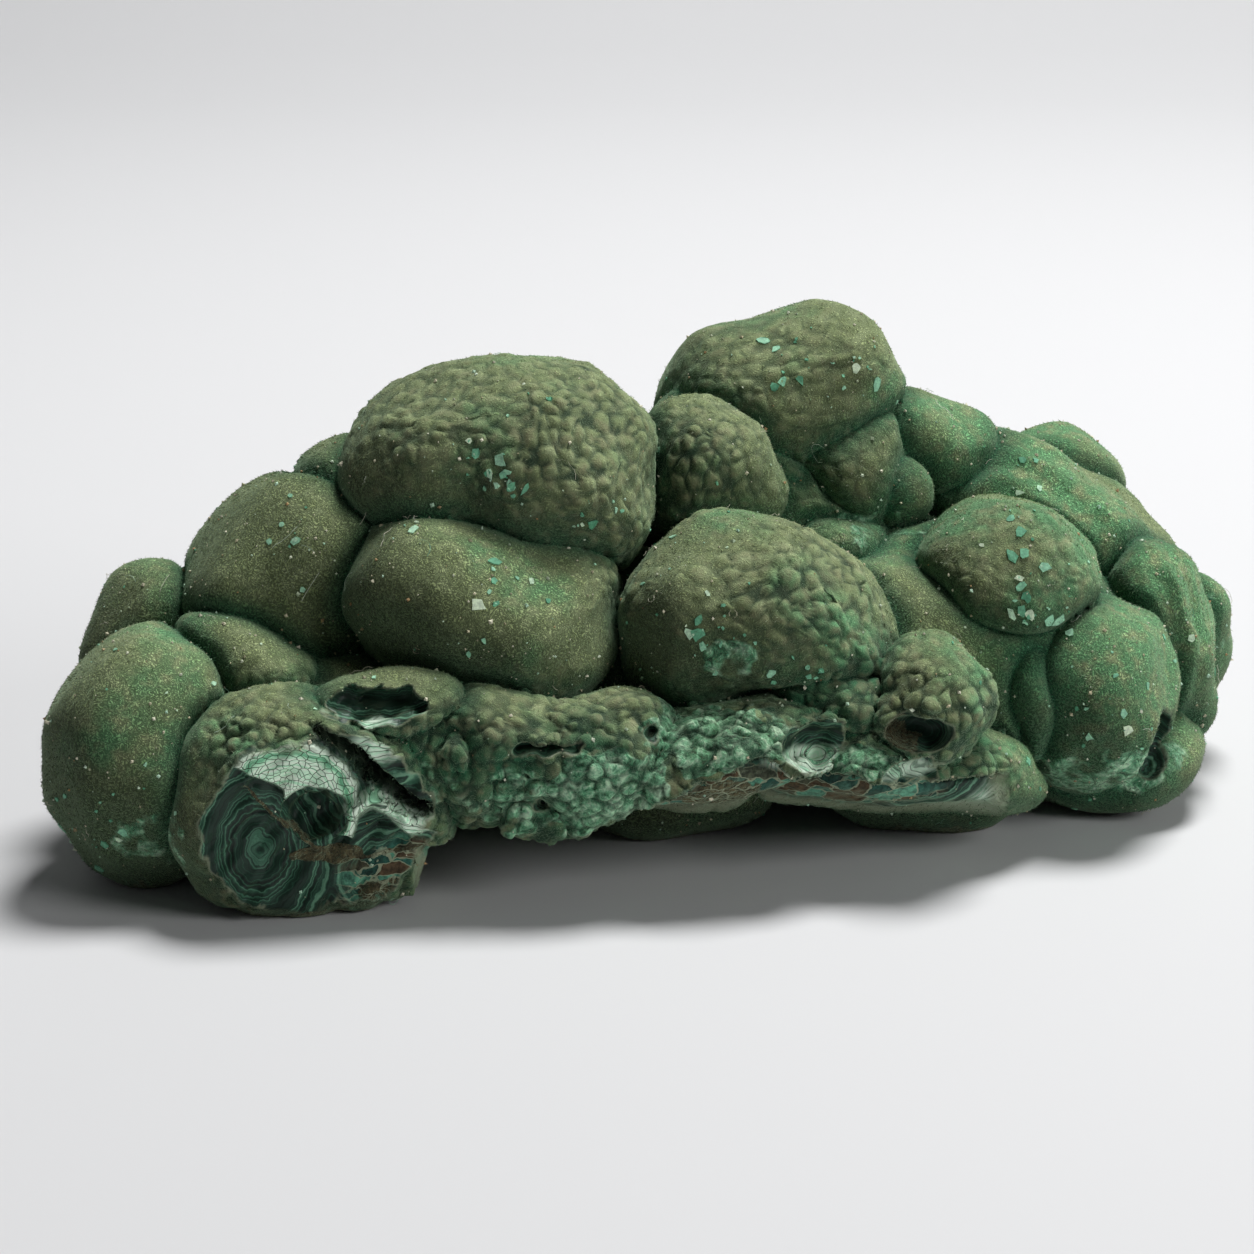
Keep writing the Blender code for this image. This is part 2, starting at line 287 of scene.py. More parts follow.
def patches(points, table, **options):
    total = np.zeros(len(points))
    for seed, row in enumerate(table):
        strength = row[2] if len(row) > 2 else 1.0
        total = np.maximum(total, strength * patch(points, row[0], row[1], seed=seed, **options))
    return total


# %% [markdown]
# ## Where the skin is cobbled
#
# The tops of the crown, the middle bubble and the knob are paved with nodules about
# 2 mm wide that rise less than half a millimetre, with small pits between them in painted shade.
# The table lists those places with how strongly the nodules stand out. The ledge is
# paved all over, and there they stand a little higher. They are real relief, because
# light that grazes them shows every one.

# %% Paved places
NODULE_SIZE = 2.1
PAVED = [
    ((-8, -12, 50), (20, 22, 15), 1.0),
    ((-24, -12, 54), (18, 18, 12), 0.8),
    ((-1, -14, 36), (8, 14, 14), 0.9),
    ((9, -4, 44), (11, 16, 13), 1.0),
    ((20, -20, 33), (19, 18, 11), 1.0),
    ((28, -24, 23), (11, 14, 11), 1.0),
    ((35.6, -27, 21), (10, 12, 11), 0.8),
    ((16, 12, 54), (20, 20, 14), 0.7),
    ((26, 6, 42), (13, 14, 12), 0.5),
    ((48, -8, 34), (15, 14, 12), 0.55),
    ((10, 32, 40), (18, 10, 12), 0.7),
    ((-28, 24, 20), (16, 12, 10), 0.6),
    ((40, 40, 26), (14, 10, 12), 0.5),
]


def ledge_share(points):
    """1 on the low front ledge, falling to 0 up the bubbles behind it."""
    x, y, z = points.T
    front = np.clip((-22 - 0.12 * (x + 20) - y + 0.25 * x.clip(0)) / 5, 0, 1)
    low = np.clip((28 - z) / 5, 0, 1)
    right = np.clip((50 - x) / 6, 0, 1)
    left = np.clip((x + 52) / 6, 0, 1)
    return front * low * right * left


def paved_share(points):
    return np.maximum(patches(points, PAVED, soft=0.6), ledge_share(points))


def where(share, make, points):
    """share times make(points), worked out only where the share is above zero."""
    result = np.zeros(len(points))
    on = share > 0.01
    result[on] = share[on] * make(points[on])
    return result


def nodules(points):
    """Distance from the middle of the nodule a point is on, and from its border, in nodules."""
    bent = points + 0.5 * np.stack([ripple(points, 4.5, seed) for seed in (1.0, 5.0, 9.0)], axis=1)
    nearest, second = cobbles(bent, NODULE_SIZE, 0.3)
    return nearest, second - nearest


def nodule_rise(points):
    """How far the nodules stand up, in mm."""
    middle, border = nodules(points)
    height = (0.55 + 0.08 * ledge_share(points)) * (0.85 + 0.3 * ripple(points, 6.0, 3.0))
    return height * np.clip(border / 0.38, 0, 1) ** 0.7 * (1 - 0.8 * middle ** 2).clip(0)


def nodule_gap_shade(points):
    """1 in the gaps between nodules, which are painted nearly black as painted shade, 0 on them."""
    middle, border = nodules(points)
    return np.maximum(1 - border / 0.26, (middle - 0.55) / 0.15).clip(0, 1)


# %% [markdown]
# ## The broken ledge
#
# The ledge along the front was broken twice. Its left end was snapped across, and the
# break shows one big growth from the inside: a pale banded arch, a smooth pocket
# under it, dark rings beside it and brown seams. Further right only the lower edge of
# the crust was torn away. These shapes are easiest to place on the front as seen from
# the front, so most of them are lines and rounds with only an x and a z.

# %% Breaks and hollows
KNOB_SIZE = 6.0
KNOB_HEIGHT = 0.9
BREAK_ROUGHNESS = 0.8
BREAK_EDGE = 0.6

BREAKS = {
    "ledge_face": ((-26, -140, 12), (80, 100, 80), 0, 0),
    "ledge_hollow": ((-29, -38.5, 25), (6.2, 5.5, 1.9), 0, 0),
    "arch_pocket": ((-36.2, -42, 12.9), (3.8, 4.5, 3.3), 0, 0),
    "middle_pocket": ((23, -34, 18.6), (5, 5, 2.8), 0, 0),
    "knob_pocket": ((34.5, -34, 14), (4.6, 5, 3.0), 0, 0),
    "undercut": ((20, -43, -6), (47, 24, 15.5), 0, 10),
}
SOCKETS = [
    ((-9.9, -41.0, 13.0), (1.0, 5.0, 0.8)),
    ((-9.5, -40.0, 20.0), (3.9, 4.0, 0.55)),
    ((3.0, -37.0, 20.6), (1.3, 4.4, 0.8)),
    ((21.9, -33.5, 22.9), (0.9, 4.0, 1.2)),
    ((34.2, -32.0, 19.4), (4.4, 5.0, 2.2)),
    ((64.5, -11.5, 11.5), (3.4, 4.0, 4.8)),
]
ARCH_CENTRE = (-38.9, 14.2)
ARCH_RADIUS = 8.2
ARCH_FOOT = ((-45.6, 19.8), (-39.4, 16.0))
POCKET_CENTRE = (-36.2, 12.9)
POCKET_RADII = (3.8, 3.3)
CRACK = [(-35.6, 23.2), (-32.8, 21.3), (-30.9, 19.4), (-29.4, 17.5), (-27.9, 16.2), (-25.8, 14.2), (-23.2, 13.3)]
SEAM = [(-43.9, 17.2), (-40.3, 12.6), (-37.5, 10.1), (-34, 7.2), (-30.4, 7.5), (-24.5, 8.7), (-21, 9.6)]
PALE_RIM = [(-31.6, 13.4), (-29.7, 14.6), (-27.8, 14.0), (-26, 12.4), (-25, 11.2), (-23.3, 11.9), (-21.4, 11.3)]
TORN_TOP = [
    (-24, 8.4), (-17, 7.9), (-14, 9.0), (-7, 6.9), (-5, 8.6), (-0.6, 10.3), (2.1, 12.1), (4.2, 13.2),
    (8.5, 15.5), (11, 16), (15, 18), (17.2, 17.8), (19, 15.3), (27, 14.8), (29, 13.5), (45, 12.5),
]
TORN_DEPTH = 1.7


def from_front(points, centre, radii=(1, 1)):
    """How far a point is from a round drawn on the front, in radii."""
    return np.linalg.norm((points[:, [0, 2]] - np.array(centre)) / np.array(radii), axis=1)


def line_gap(points, line):
    """Distance in mm from a line drawn on the front, seen from the front."""
    place = points[:, [0, 2]]
    best = np.full(len(points), 99.0)
    for start, end in zip(line[:-1], line[1:]):
        along = np.subtract(end, start)
        share = np.clip((place - np.array(start)) @ along / (along @ along), 0, 1)
        best = np.minimum(best, np.linalg.norm(place - np.array(start) - share[:, None] * along, axis=1))
    return best


def arch_share(points):
    """1 on the pale banded arch, 0 off it, with a half millimetre edge."""
    (x0, z0), (x1, z1) = ARCH_FOOT
    x, _, z = points.T
    wobble = 0.3 * ripple(points, 3.5, 6.0)
    inside = ARCH_RADIUS - from_front(points, ARCH_CENTRE) + wobble
    above_pocket = (from_front(points, POCKET_CENTRE, POCKET_RADII) - 1) * POCKET_RADII[0] + wobble
    above_foot = np.where(x < x1, z - z0 - (x - x0) * (z1 - z0) / (x1 - x0), z - 12 + 0.3 * (x - x1))
    return np.clip(np.minimum(np.minimum(inside, above_pocket), above_foot) / 0.5, 0, 1)


def torn_share(points):
    """1 where the ledge's lower edge lost its crust."""
    x, y, z = points.T
    edge = np.interp(x, *zip(*TORN_TOP)) + 0.5 * ripple(points, 3.0, 5.0)
    front = np.clip((-26 + 0.22 * (x - 12).clip(0) - y) / 2, 0, 1)
    sides = np.clip((x + 25) / 1.5, 0, 1) * np.clip((46 - x) / 3, 0, 1)
    return np.clip((edge - z) / 0.5 + 0.5, 0, 1) * front * sides


# %% [markdown]
# ## Bands, cells and steps
#
# A broken face of malachite isn't smooth. It splits along its growth bands, so it
# steps down in thin ledges, and `rings` measures how far out along the bands a point
# is. The torn crust is cellular instead, in the places that `CELLULAR` lists.

# %% Relief of the broken faces
RING_CENTRES = [
    ((-42.3, -43, 9.4), (1.0, 1.0, 1.35)),
    ((-27, -36, 5), (1.0, 1.0, 0.8)),
    ((-29, -33, 30), (1.6, 1.0, 1.0)),
    ((-14, -30, 8), (1.6, 1.0, 1.0)),
    ((2, -27, 9), (1.6, 1.0, 0.9)),
    ((16, -24, 12), (1.4, 1.0, 0.8)),
    ((22.6, -29, 14.5), (1.2, 1.0, 0.9)),
    ((34.9, -26, 17.5), (1.1, 1.0, 1.1)),
    ((44, -12, 0), (1.2, 1.0, 1.0)),
    ((62, -4, 2), (1.2, 1.0, 1.0)),
]
CELLULAR = [
    ((-26, -40, 4.5), (8.5, 7, 6)),
    ((3, -36, 9), (13, 9, 7)),
    ((14, -34, 13), (12, 9, 4.5)),
    ((27, -31, 11.5), (12, 9, 3.0)),
]


def cell_share(points):
    return patches(points, CELLULAR, soft=0.3)


def rings(points):
    """Growth band coordinate in mm: how far a point is from its centre of growth."""
    best = np.full(len(points), 99.0)
    for centre, stretch in RING_CENTRES:
        gap = np.linalg.norm((points - np.array(centre)) / np.array(stretch), axis=1)
        best = blend(best, gap, 0.8)
    best = np.where(arch_share(points) > 0.3, 30 + from_front(points, ARCH_CENTRE), best)
    return best + 0.25 * ripple(points, 4.0, 1.0) + 0.08 * ripple(points, 1.3, 2.0)


def band_steps(points):
    band = rings(points) / 1.1
    return 0.2 * (band - np.floor(band)) ** 3 * (1 - 0.8 * arch_share(points))


def torn_roughness(points):
    return 0.28 * ripple(points, 5.0, 8.0) + 0.12 * ripple(points, 2.4, 9.0)


def face_depth(points):
    """How much deeper than a plain cut the snapped end of the ledge lies."""
    crack_width = np.interp(points[:, 0], (-35, -30, -27, -23), (0.5, 1.1, 1.1, 0.6))
    depth = 6.0 * np.clip(1.3 - line_gap(points, CRACK) / crack_width, 0, 1)
    depth -= 0.8 * arch_share(points)
    depth -= 0.25 * np.clip(1.5 - line_gap(points, SEAM) / 0.35, 0, 1)
    depth -= 1.8 * np.clip(1.5 - line_gap(points, PALE_RIM) / 0.8, 0, 1)
    return depth


def cut_depth(points, detail=True):
    """How far inside the broken-away space a point is, positive in the open."""
    waves = points @ np.array([[0.9, -0.5, 0.4], [0.3, 0.8, -0.9], [-0.7, 0.5, 0.8]])
    uneven = BREAK_ROUGHNESS * (np.sin(waves).prod(axis=1) + 0.4 * np.sin(2.1 * waves[:, 0]))
    total = np.full(len(points), FAR)
    for name, hollow in BREAKS.items():
        gap = ball_distance(points, *hollow) + 0.6 * uneven
        if name == "ledge_face":
            on_end = np.abs(points - np.array([-36, -40, 12])) < np.array([20, 8, 16])
            gap = gap - where(on_end.all(axis=1).astype(float), face_depth, points)
        total = np.minimum(total, gap)
    if detail:
        face = (np.abs(total) < 1.5).astype(float)
        total = total + where(face, band_steps, points) + where(face * cell_share(points), torn_roughness, points)
    for centre, radii in SOCKETS:
        total = blend(total, ball_distance(points, centre, radii) + 0.5 * uneven, 0.4)
    return -total


# %% [markdown]
# ## The whole field
#
# The finished stone is the growth field with its knobs and folds, minus the torn
# crust and the broken space, standing on a flat. Two bubbles never quite close the
# crease between them, so it is cut in by up to another millimetre. The skin sits a
# little inside the solid, because the velvet needles that are added later fill that
# room.

# %% The stone as one field
INSET = 0.2
CREASE_DEPTH = 0.9
CREASE_WIDTH = 1.7
FOLDED = [
    ((66, 2, 20), (9, 16, 14), 1.0),
    ((52, 12, 36), (14, 14, 9), 0.8),
    ((58, -14, 10), (12, 8, 8), 0.6),
    ((62, 26, 22), (14, 14, 14), 0.8),
]
FOLD_CENTRE = np.array([44, -22, 22])
FOLD_WIDTH = 4.2
FOLD_HEIGHT = 0.32


def knob_rise(points):
    nearest, _ = cobbles(points, KNOB_SIZE)
    return (1 - (nearest / 0.62) ** 2).clip(0)


def fold_rise(points):
    """The right side is wrinkled like a shell, in folds that follow its outline."""
    outward = np.linalg.norm((points - FOLD_CENTRE) * [1, 0.7, 0.8], axis=1) + 1.4 * ripple(points, 14.0, 7.0)
    return np.sin(outward * 2 * math.pi / FOLD_WIDTH)


def skin_and_cut(points, detail=True):
    """Distance to the skin with its relief, depth in the cut, the bubble gap and the torn share."""
    grown, gap = growth(points)
    close = (np.abs(grown) < 2.5).astype(float)
    torn = where(close, torn_share, points)
    cut = cut_depth(points, detail)
    whole = close * (1 - torn) * np.clip(-0.3 - cut, 0, 1)
    grown = grown + INSET - KNOB_HEIGHT * where(close * (1 - torn) * ledge_share(points), knob_rise, points)
    grown = grown - FOLD_HEIGHT * where(close * patches(points, FOLDED), fold_rise, points)
    grown = grown - 0.12 * ripple(points, 7.0, 4.0) + TORN_DEPTH * torn
    grown = grown + CREASE_DEPTH * np.clip(1 - gap / CREASE_WIDTH, 0, 1) ** 2
    if detail:
        grown = grown - where(close * (1 - torn) * paved_share(points), nodule_rise, points)
        grown = grown + where(np.maximum(torn, 0.6 * whole * ledge_share(points)), torn_roughness, points)
        grown = grown + where(torn, band_steps, points)
    return grown, cut, gap, torn


def stone_distance(points, detail=True):
    grown, cut, _, _ = skin_and_cut(points, detail)
    total = -blend(-grown, -cut, BREAK_EDGE * 0.5)
    return np.maximum(total, -points[:, 2])


# %% [markdown]
# ## From field to mesh
#
# A dense grid over the stone's box would have ten million points, and most of them
# are nowhere near the skin. So the field is first asked on a coarse grid, and only
# the fine points near the skin are asked again. OpenVDB, which comes with Blender,
# then draws the surface where the distance is zero.

# %% Draw the skin
FINE = 0.5
COARSE = 4
GRID_LOW = np.array([-71.3, -47.3, -1.27])
GRID_HIGH = np.array([80.9, 48.0, 63.5])


def grid_axes(step):
    return [np.arange(low, high, step) for low, high in zip(GRID_LOW, GRID_HIGH)]


def skin_points():
    coarse = grid_axes(FINE * COARSE)
    shape = [len(axis) for axis in coarse]
    places = np.stack(np.meshgrid(*coarse, indexing="ij"), axis=-1).reshape(-1, 3)
    rough = -blend(-growth(places)[0], -cut_depth(places), BREAK_EDGE)
    rough = np.maximum(rough, -places[:, 2]).reshape(shape)
    dense = rough
    for axis in range(3):
        dense = np.repeat(dense, COARSE, axis=axis)
    near = np.abs(dense) < 0.9 * FINE * COARSE + 1.3
    fine = [low + FINE * np.arange(n) - FINE * (COARSE - 1) / 2 for low, n in zip(GRID_LOW, dense.shape)]
    index = np.argwhere(near)
    asked = np.stack([fine[i][index[:, i]] for i in range(3)], axis=1)
    field = np.where(dense > 0, FAR, -FAR).astype(np.float32)
    blocks = np.array_split(asked, 24)
    field[near] = np.concatenate([stone_distance(block, detail=False) for block in blocks])
    volume = openvdb.FloatGrid(FAR)
    volume.copyFromArray(field)
    points, quads = volume.convertToQuads(0.0)
    print("asked", len(asked), "grid points, quads", len(quads))
    return points * FINE + np.array([axis[0] for axis in fine]), quads


def mesh_object(name, points, faces):
    mesh = bpy.data.meshes.new(name)
    mesh.from_pydata(((points - MIDDLE) * MM).tolist(), [], faces.tolist())
    thing = bpy.data.objects.new(name, mesh)
    bpy.context.scene.collection.objects.link(thing)
    return thing


def inside_box(points):
    """Keep the growth within the box of the solid."""
    low = np.array(cad_low) / MM + MIDDLE + 0.05
    high = np.array(cad_high) / MM + MIDDLE - 0.05
    return np.clip(points, np.maximum(low, [-999, -999, 0]), high)


def places_of(thing):
    flat = np.empty(len(thing.data.vertices) * 3)
    thing.data.vertices.foreach_get("co", flat)
    return flat.reshape(-1, 3) / MM + MIDDLE


def largest_island(points, quads):
    """Only the outer skin: drop the walls of any bubble sealed inside the stone."""
    label = np.arange(len(points))
    while True:
        low = label[quads].min(axis=1)
        fresh = label.copy()
        for corner in range(4):
            np.minimum.at(fresh, quads[:, corner], low)
        fresh = fresh[fresh]
        if (fresh == label).all():
            break
        label = fresh
    main = label[quads[:, 0]] == np.bincount(label).argmax()
    used, new_index = np.unique(quads[main], return_inverse=True)
    return points[used], new_index.reshape(-1, 4)


skin = mesh_object("stone_skin", *largest_island(*skin_points()))

# %% [markdown]
# ## Few faces on the bubbles, many on the detail
#
# The skin comes out evenly fine. Decimate first collapses the edges that matter
# least, so the smooth bubbles are left with large faces. Then the creases are split
# once and the broken ledge and the paved tops twice, and every new point is moved onto
# the field. That spends the faces where the eye looks.

# %% Thin the skin, then refine it where it needs detail
BASE_TRIANGLES = 52000


def apply_modifiers(thing):
    depsgraph = bpy.context.evaluated_depsgraph_get()
    finished = bpy.data.meshes.new_from_object(thing.evaluated_get(depsgraph))
    thing.modifiers.clear()
    thing.data = finished


def triangles_of(thing):
    thing.data.calc_loop_triangles()
    flat = np.empty(len(thing.data.loop_triangles) * 3, np.int32)
    thing.data.loop_triangles.foreach_get("vertices", flat)
    return flat.reshape(-1, 3).astype(np.int64)


def split_chosen(places, triangles, chosen):
    """Halve every edge whose two ends are chosen."""
    ends = np.sort(triangles[:, [0, 1, 1, 2, 2, 0]].reshape(-1, 2), axis=1)
    keys, inverse = np.unique(ends[:, 0] * len(places) + ends[:, 1], return_inverse=True)
    edges = np.stack(np.divmod(keys, len(places)), axis=1)
    split = chosen[edges].all(axis=1)
    middle = np.full(len(edges), -1)
    middle[split] = len(places) + np.arange(split.sum())
    middle = middle[inverse].reshape(-1, 3)
    halved = (middle >= 0).sum(axis=1)
    a, b, c = triangles[halved == 3].T
    ab, bc, ca = middle[halved == 3].T
    quarters = [np.stack(corners, axis=1) for corners in ((a, ab, ca), (ab, b, bc), (ca, bc, c), (ab, bc, ca))]
    lone = np.flatnonzero(halved == 1)
    first = (middle[lone] >= 0).argmax(axis=1)
    a, b, c = (triangles[lone, (first + turn) % 3] for turn in range(3))
    m = middle[lone, first]
    halves = [np.stack((a, m, c), axis=1), np.stack((m, b, c), axis=1)]
    places = np.concatenate([places, places[edges[split]].mean(axis=1)])
    return places, np.concatenate([triangles[halved == 0], *quarters, *halves])


def normals_of(places, triangles):
    a, b, c = (places[triangles[:, corner]] for corner in range(3))
    facing = np.cross(b - a, c - a)
    total = np.stack([
        sum(np.bincount(triangles[:, corner], facing[:, axis], len(places)) for corner in range(3))
        for axis in range(3)
    ], axis=1)
    return total / (np.linalg.norm(total, axis=1, keepdims=True) + 1e-12)


def settle(places, triangles, moving):
    """Move points along their normals onto the field."""
    for _ in range(3):
        normals = normals_of(places, triangles)[moving]
        step = 0.85 * stone_distance(places[moving]).clip(-0.3, 0.3)
        places[moving] -= step[:, None] * normals
    return places


def on_ledge(points):
    x, y, z = points.T
    return (y < -24 + 0.2 * x.clip(0)) & (z < 29) & (x > -55) & (x < 50)


def in_crease(points):
    return (growth(points)[1] < 1.3 * CREASE_WIDTH) & (points[:, 1] < 22)


def on_detail(points):
    paved = (paved_share(points) > 0.15) & (points[:, 1] < 14)
    return on_ledge(points) | paved


REFINED = [lambda points: on_detail(points) | in_crease(points), on_detail]

thin = skin.modifiers.new("thin", "DECIMATE")
thin.ratio = min(1.0, BASE_TRIANGLES / (2 * len(skin.data.polygons)))
apply_modifiers(skin)
skin_places = places_of(skin)
skin_triangles = triangles_of(skin)
for refined in REFINED:
    above_floor = skin_places[:, 2] > 1.5
    skin_places, skin_triangles = split_chosen(skin_places, skin_triangles, refined(skin_places) & above_floor)
    moving = refined(skin_places) & (skin_places[:, 2] > 1.5)
    skin_places = settle(skin_places, skin_triangles, moving)
skin_places = inside_box(skin_places)
print("skin triangles", len(skin_triangles))

# %% [markdown]
# ## What each point of the skin is
#
# The colours need to know where a point lies: in a crease, on a nodule, on a broken
# face, how far down the growth bands. Each answer is stored on the mesh as a named
# number, and the materials read it by that name. Nothing here is a picture: it is the
# same field, asked again.

# %% Store the zones
MINT = [
    ((-29, -39, 21), (3.8, 4, 2.8), 0.9),
    ((21.5, -33, 16.5), (6, 6, 1.9), 1.0),
    ((43, -20, 8), (8, 8, 4), 0.6),
    ((32, -30, 14.5), (5, 5, 1.6), 0.7),
]
BARE = [
    ((-22, -38, 15), (7, 6, 5), 0.45),
    ((-13, -38, 14), (6.5, 7, 6.5), 0.6),
    ((-3, -37, 14.5), (9, 8, 6.5), 1.0),
    ((2, -30, 20.5), (6, 6, 3.5), 0.8),
    ((11, -34, 19.5), (10, 9, 5), 1.0),
    ((27, -33, 16), (10, 6, 2.5), 0.7),
    ((12, -29, 27.5), (4.5, 4, 4), 0.6),
    ((60, -12, 9), (14, 9, 6), 0.6),
    ((-54, -38, 9), (9, 9, 6), 0.5),
    ((30, 4, 33), (9, 9, 6), 0.45),
    ((74, 16, 16), (5, 12, 12), 0.35),
]
MATRIX = [
    ((-33, -43, 8), (6.5, 5, 1.6), 1.0),
    ((11, -34, 13), (6, 5, 2.6), 0.9),
    ((31, -31, 18.5), (4.5, 6, 3.5), 1.0),
    ((-24, -40, 3), (9, 7, 3), 0.7),
    ((-20, 34, 3), (22, 12, 5), 0.8),
    ((30, 40, 4), (24, 12, 5), 0.8),
]


def store(thing, name, values):
    attribute = thing.data.attributes.new(name, "FLOAT", "POINT")
    attribute.data.foreach_set("value", np.asarray(values, np.float32))


def zones(points):
    grown, cut, gap, torn = skin_and_cut(points)
    base = np.clip((1.2 - points[:, 2]) / 0.8, 0, 1)
    snapped = np.clip(0.5 + (cut - grown) / 0.4, 0, 1)
    broken = np.maximum(np.maximum(snapped, torn), base)
    under = np.clip(1.5 - np.abs(ball_distance(points, *BREAKS["undercut"])), 0, 1)
    arch = arch_share(points) * (points[:, 1] < -35)
    pale_line = np.clip(2 - line_gap(points, PALE_RIM) / 0.7, 0, 1) * (points[:, 1] < -35)
    seam = 0.75 * np.clip(1.3 - line_gap(points, SEAM) / 0.32, 0, 1) * (points[:, 1] < -35)
    # Painted shade: the deep crack beside the arch is painted nearly black.
    crack_shade = np.clip(1.5 - line_gap(points, CRACK) / 0.9, 0, 1) * snapped * (points[:, 1] > -42.5)
    paved = paved_share(points) * (1 - broken)
    return {
        # Creases are greener, and also painted darker as painted shade.
        "crease": np.clip(1 - gap / 2.8, 0, 1) * (1 - broken),
        "paved": paved,
        # Painted shade: the gaps between nodules are painted nearly black.
        "gap_shade": where(paved, nodule_gap_shade, points),
        "crack_shade": crack_shade * (points[:, 1] < -30),
        "broken": broken,
        "rings": rings(points),
        "rim": np.maximum(2.5 * torn * (1 - torn), snapped * np.clip(1 - np.abs(grown) / 0.35, 0, 1)) * (1 - base),
        "cells": cell_share(points) * np.maximum(torn, snapped * (1 - arch)),
        "pale": np.maximum(np.maximum(arch, pale_line), patches(points, MINT)),
        "bare": patches(points, BARE),
        "earth": np.maximum(np.maximum(patches(points, MATRIX), seam), np.maximum(base, under * snapped)),
    }


# %% [markdown]
# ## Three pieces of one skin
#
# The skin is one surface, but it is kept as three meshes, the ledge, the front and the
# back, so that none is too heavy to open elsewhere. Their normals come from the whole
# skin, so no seam can be seen where they meet.

# %% Cut the skin into three meshes
def painted_light_and_dust(normals):
    """1 on top and to the right, where the velvet is painted lighter as painted light and partly as dust, 0 on fronts
    and undersides, painted darker as painted shade.
    """
    return ((normals[:, 2] + 0.5 * normals[:, 0] + 0.12) / 1.05).clip(0, 1)


def skin_piece(name, chosen):
    used, index = np.unique(skin_triangles[chosen], return_inverse=True)
    piece = mesh_object(name, skin_places[used], index.reshape(-1, 3))
    piece.data.shade_smooth()
    piece.data.normals_split_custom_set_from_vertices(skin_normals[used].tolist())
    for zone_name, values in skin_zones.items():
        store(piece, zone_name, values[used])
    print(name, "triangles", chosen.sum())
    return piece


bpy.data.objects.remove(skin)
skin_normals = normals_of(skin_places, skin_triangles)
skin_zones = zones(skin_places)
# Painted shade: faces that look down are given part of the dark crease colour.
painted_underside_shade = 0.4 * (0.25 - skin_normals[:, 2]).clip(0, 1) * (1 - skin_zones["broken"])
skin_zones["crease"] = np.maximum(skin_zones["crease"], painted_underside_shade)
# Painted light: tops and the right side get a lighter velvet, fronts and undersides a darker one; on tops this is
# partly dust.
skin_zones["wear_and_painted_light"] = painted_light_and_dust(skin_normals)
face_middle = skin_places[skin_triangles].mean(axis=1)
face_on_ledge = on_ledge(face_middle)
face_on_back = ~face_on_ledge & (face_middle[:, 1] > 8)
skins = [
    skin_piece("skin_ledge", face_on_ledge),
    skin_piece("skin_front", ~face_on_ledge & ~face_on_back),
    skin_piece("skin_back", face_on_back),
]
for zone_name, zone_values in skin_zones.items():
    print("zone", zone_name, "mean", round(float(zone_values.mean()), 3))

# %% [markdown]
# ## Places on the skin
#
# Everything that lies on the skin needs a place, the way the skin faces there and the
# zones. `random_places` drops points on the triangles by their area, so they are even,
# times a weight for each triangle, so that they can be dense in one zone and absent
# from another. The seed is fixed, so each run makes the same stone.

# %% Scatter places over the skin
rng = np.random.default_rng(7)
skin_corners = skin_places[skin_triangles]
skin_area = np.linalg.norm(
    np.cross(skin_corners[:, 1] - skin_corners[:, 0], skin_corners[:, 2] - skin_corners[:, 0]), axis=1
) / 2
print("skin area in square mm", round(float(skin_area.sum())))


def face_mean(values):
    return values[skin_triangles].mean(axis=1)


def unit(vectors):
    return vectors / (np.linalg.norm(vectors, axis=1, keepdims=True) + 1e-9)


def random_places(count, weight):
    share = np.cumsum(skin_area * weight)
    chosen = skin_triangles[np.searchsorted(share, rng.random(count) * share[-1])]
    u, v = rng.random((2, count))
    over = u + v > 1
    u, v = np.where(over, 1 - u, u), np.where(over, 1 - v, v)
    mix = np.stack([1 - u - v, u, v], axis=1)
    places = (skin_places[chosen] * mix[:, :, None]).sum(axis=1)
    normals = unit((skin_normals[chosen] * mix[:, :, None]).sum(axis=1))
    crease = (skin_zones["crease"][chosen] * mix).sum(axis=1)
    return places, normals, crease


def comb(places, normals, spread):
    """The way the velvet lies along the skin at each place, with a random spread."""
    flow = np.stack([ripple(places, 20.0, seed) for seed in (1.0, 2.0, 3.0)], axis=1) - [0, 0, 0.25]
    along = unit(flow - (flow * normals).sum(axis=1, keepdims=True) * normals)
    turn = rng.normal(0, spread, len(places))[:, None]
    return np.cos(turn) * along + np.sin(turn) * np.cross(normals, along)


# %% [markdown]
# ## The velvet itself
#
# Under a lens the velvet is a felt of needle crystals half a millimetre long. They
# lean over and lie together in swirls, like combed fur, and their pale tips catch the
# light. Real needles could be particle hair, but hair can't leave Blender as a solid
# part, so each needle here is a closed splinter of four triangles.

# %% Needles
NEEDLE_LENGTH = (0.2, 0.52)
NEEDLE_RADIUS = 0.05
NEEDLE_TILT = (math.radians(38), math.radians(78))
NEEDLES = {"needles_left": 42000, "needles_right": 44000, "needles_back": 24000}


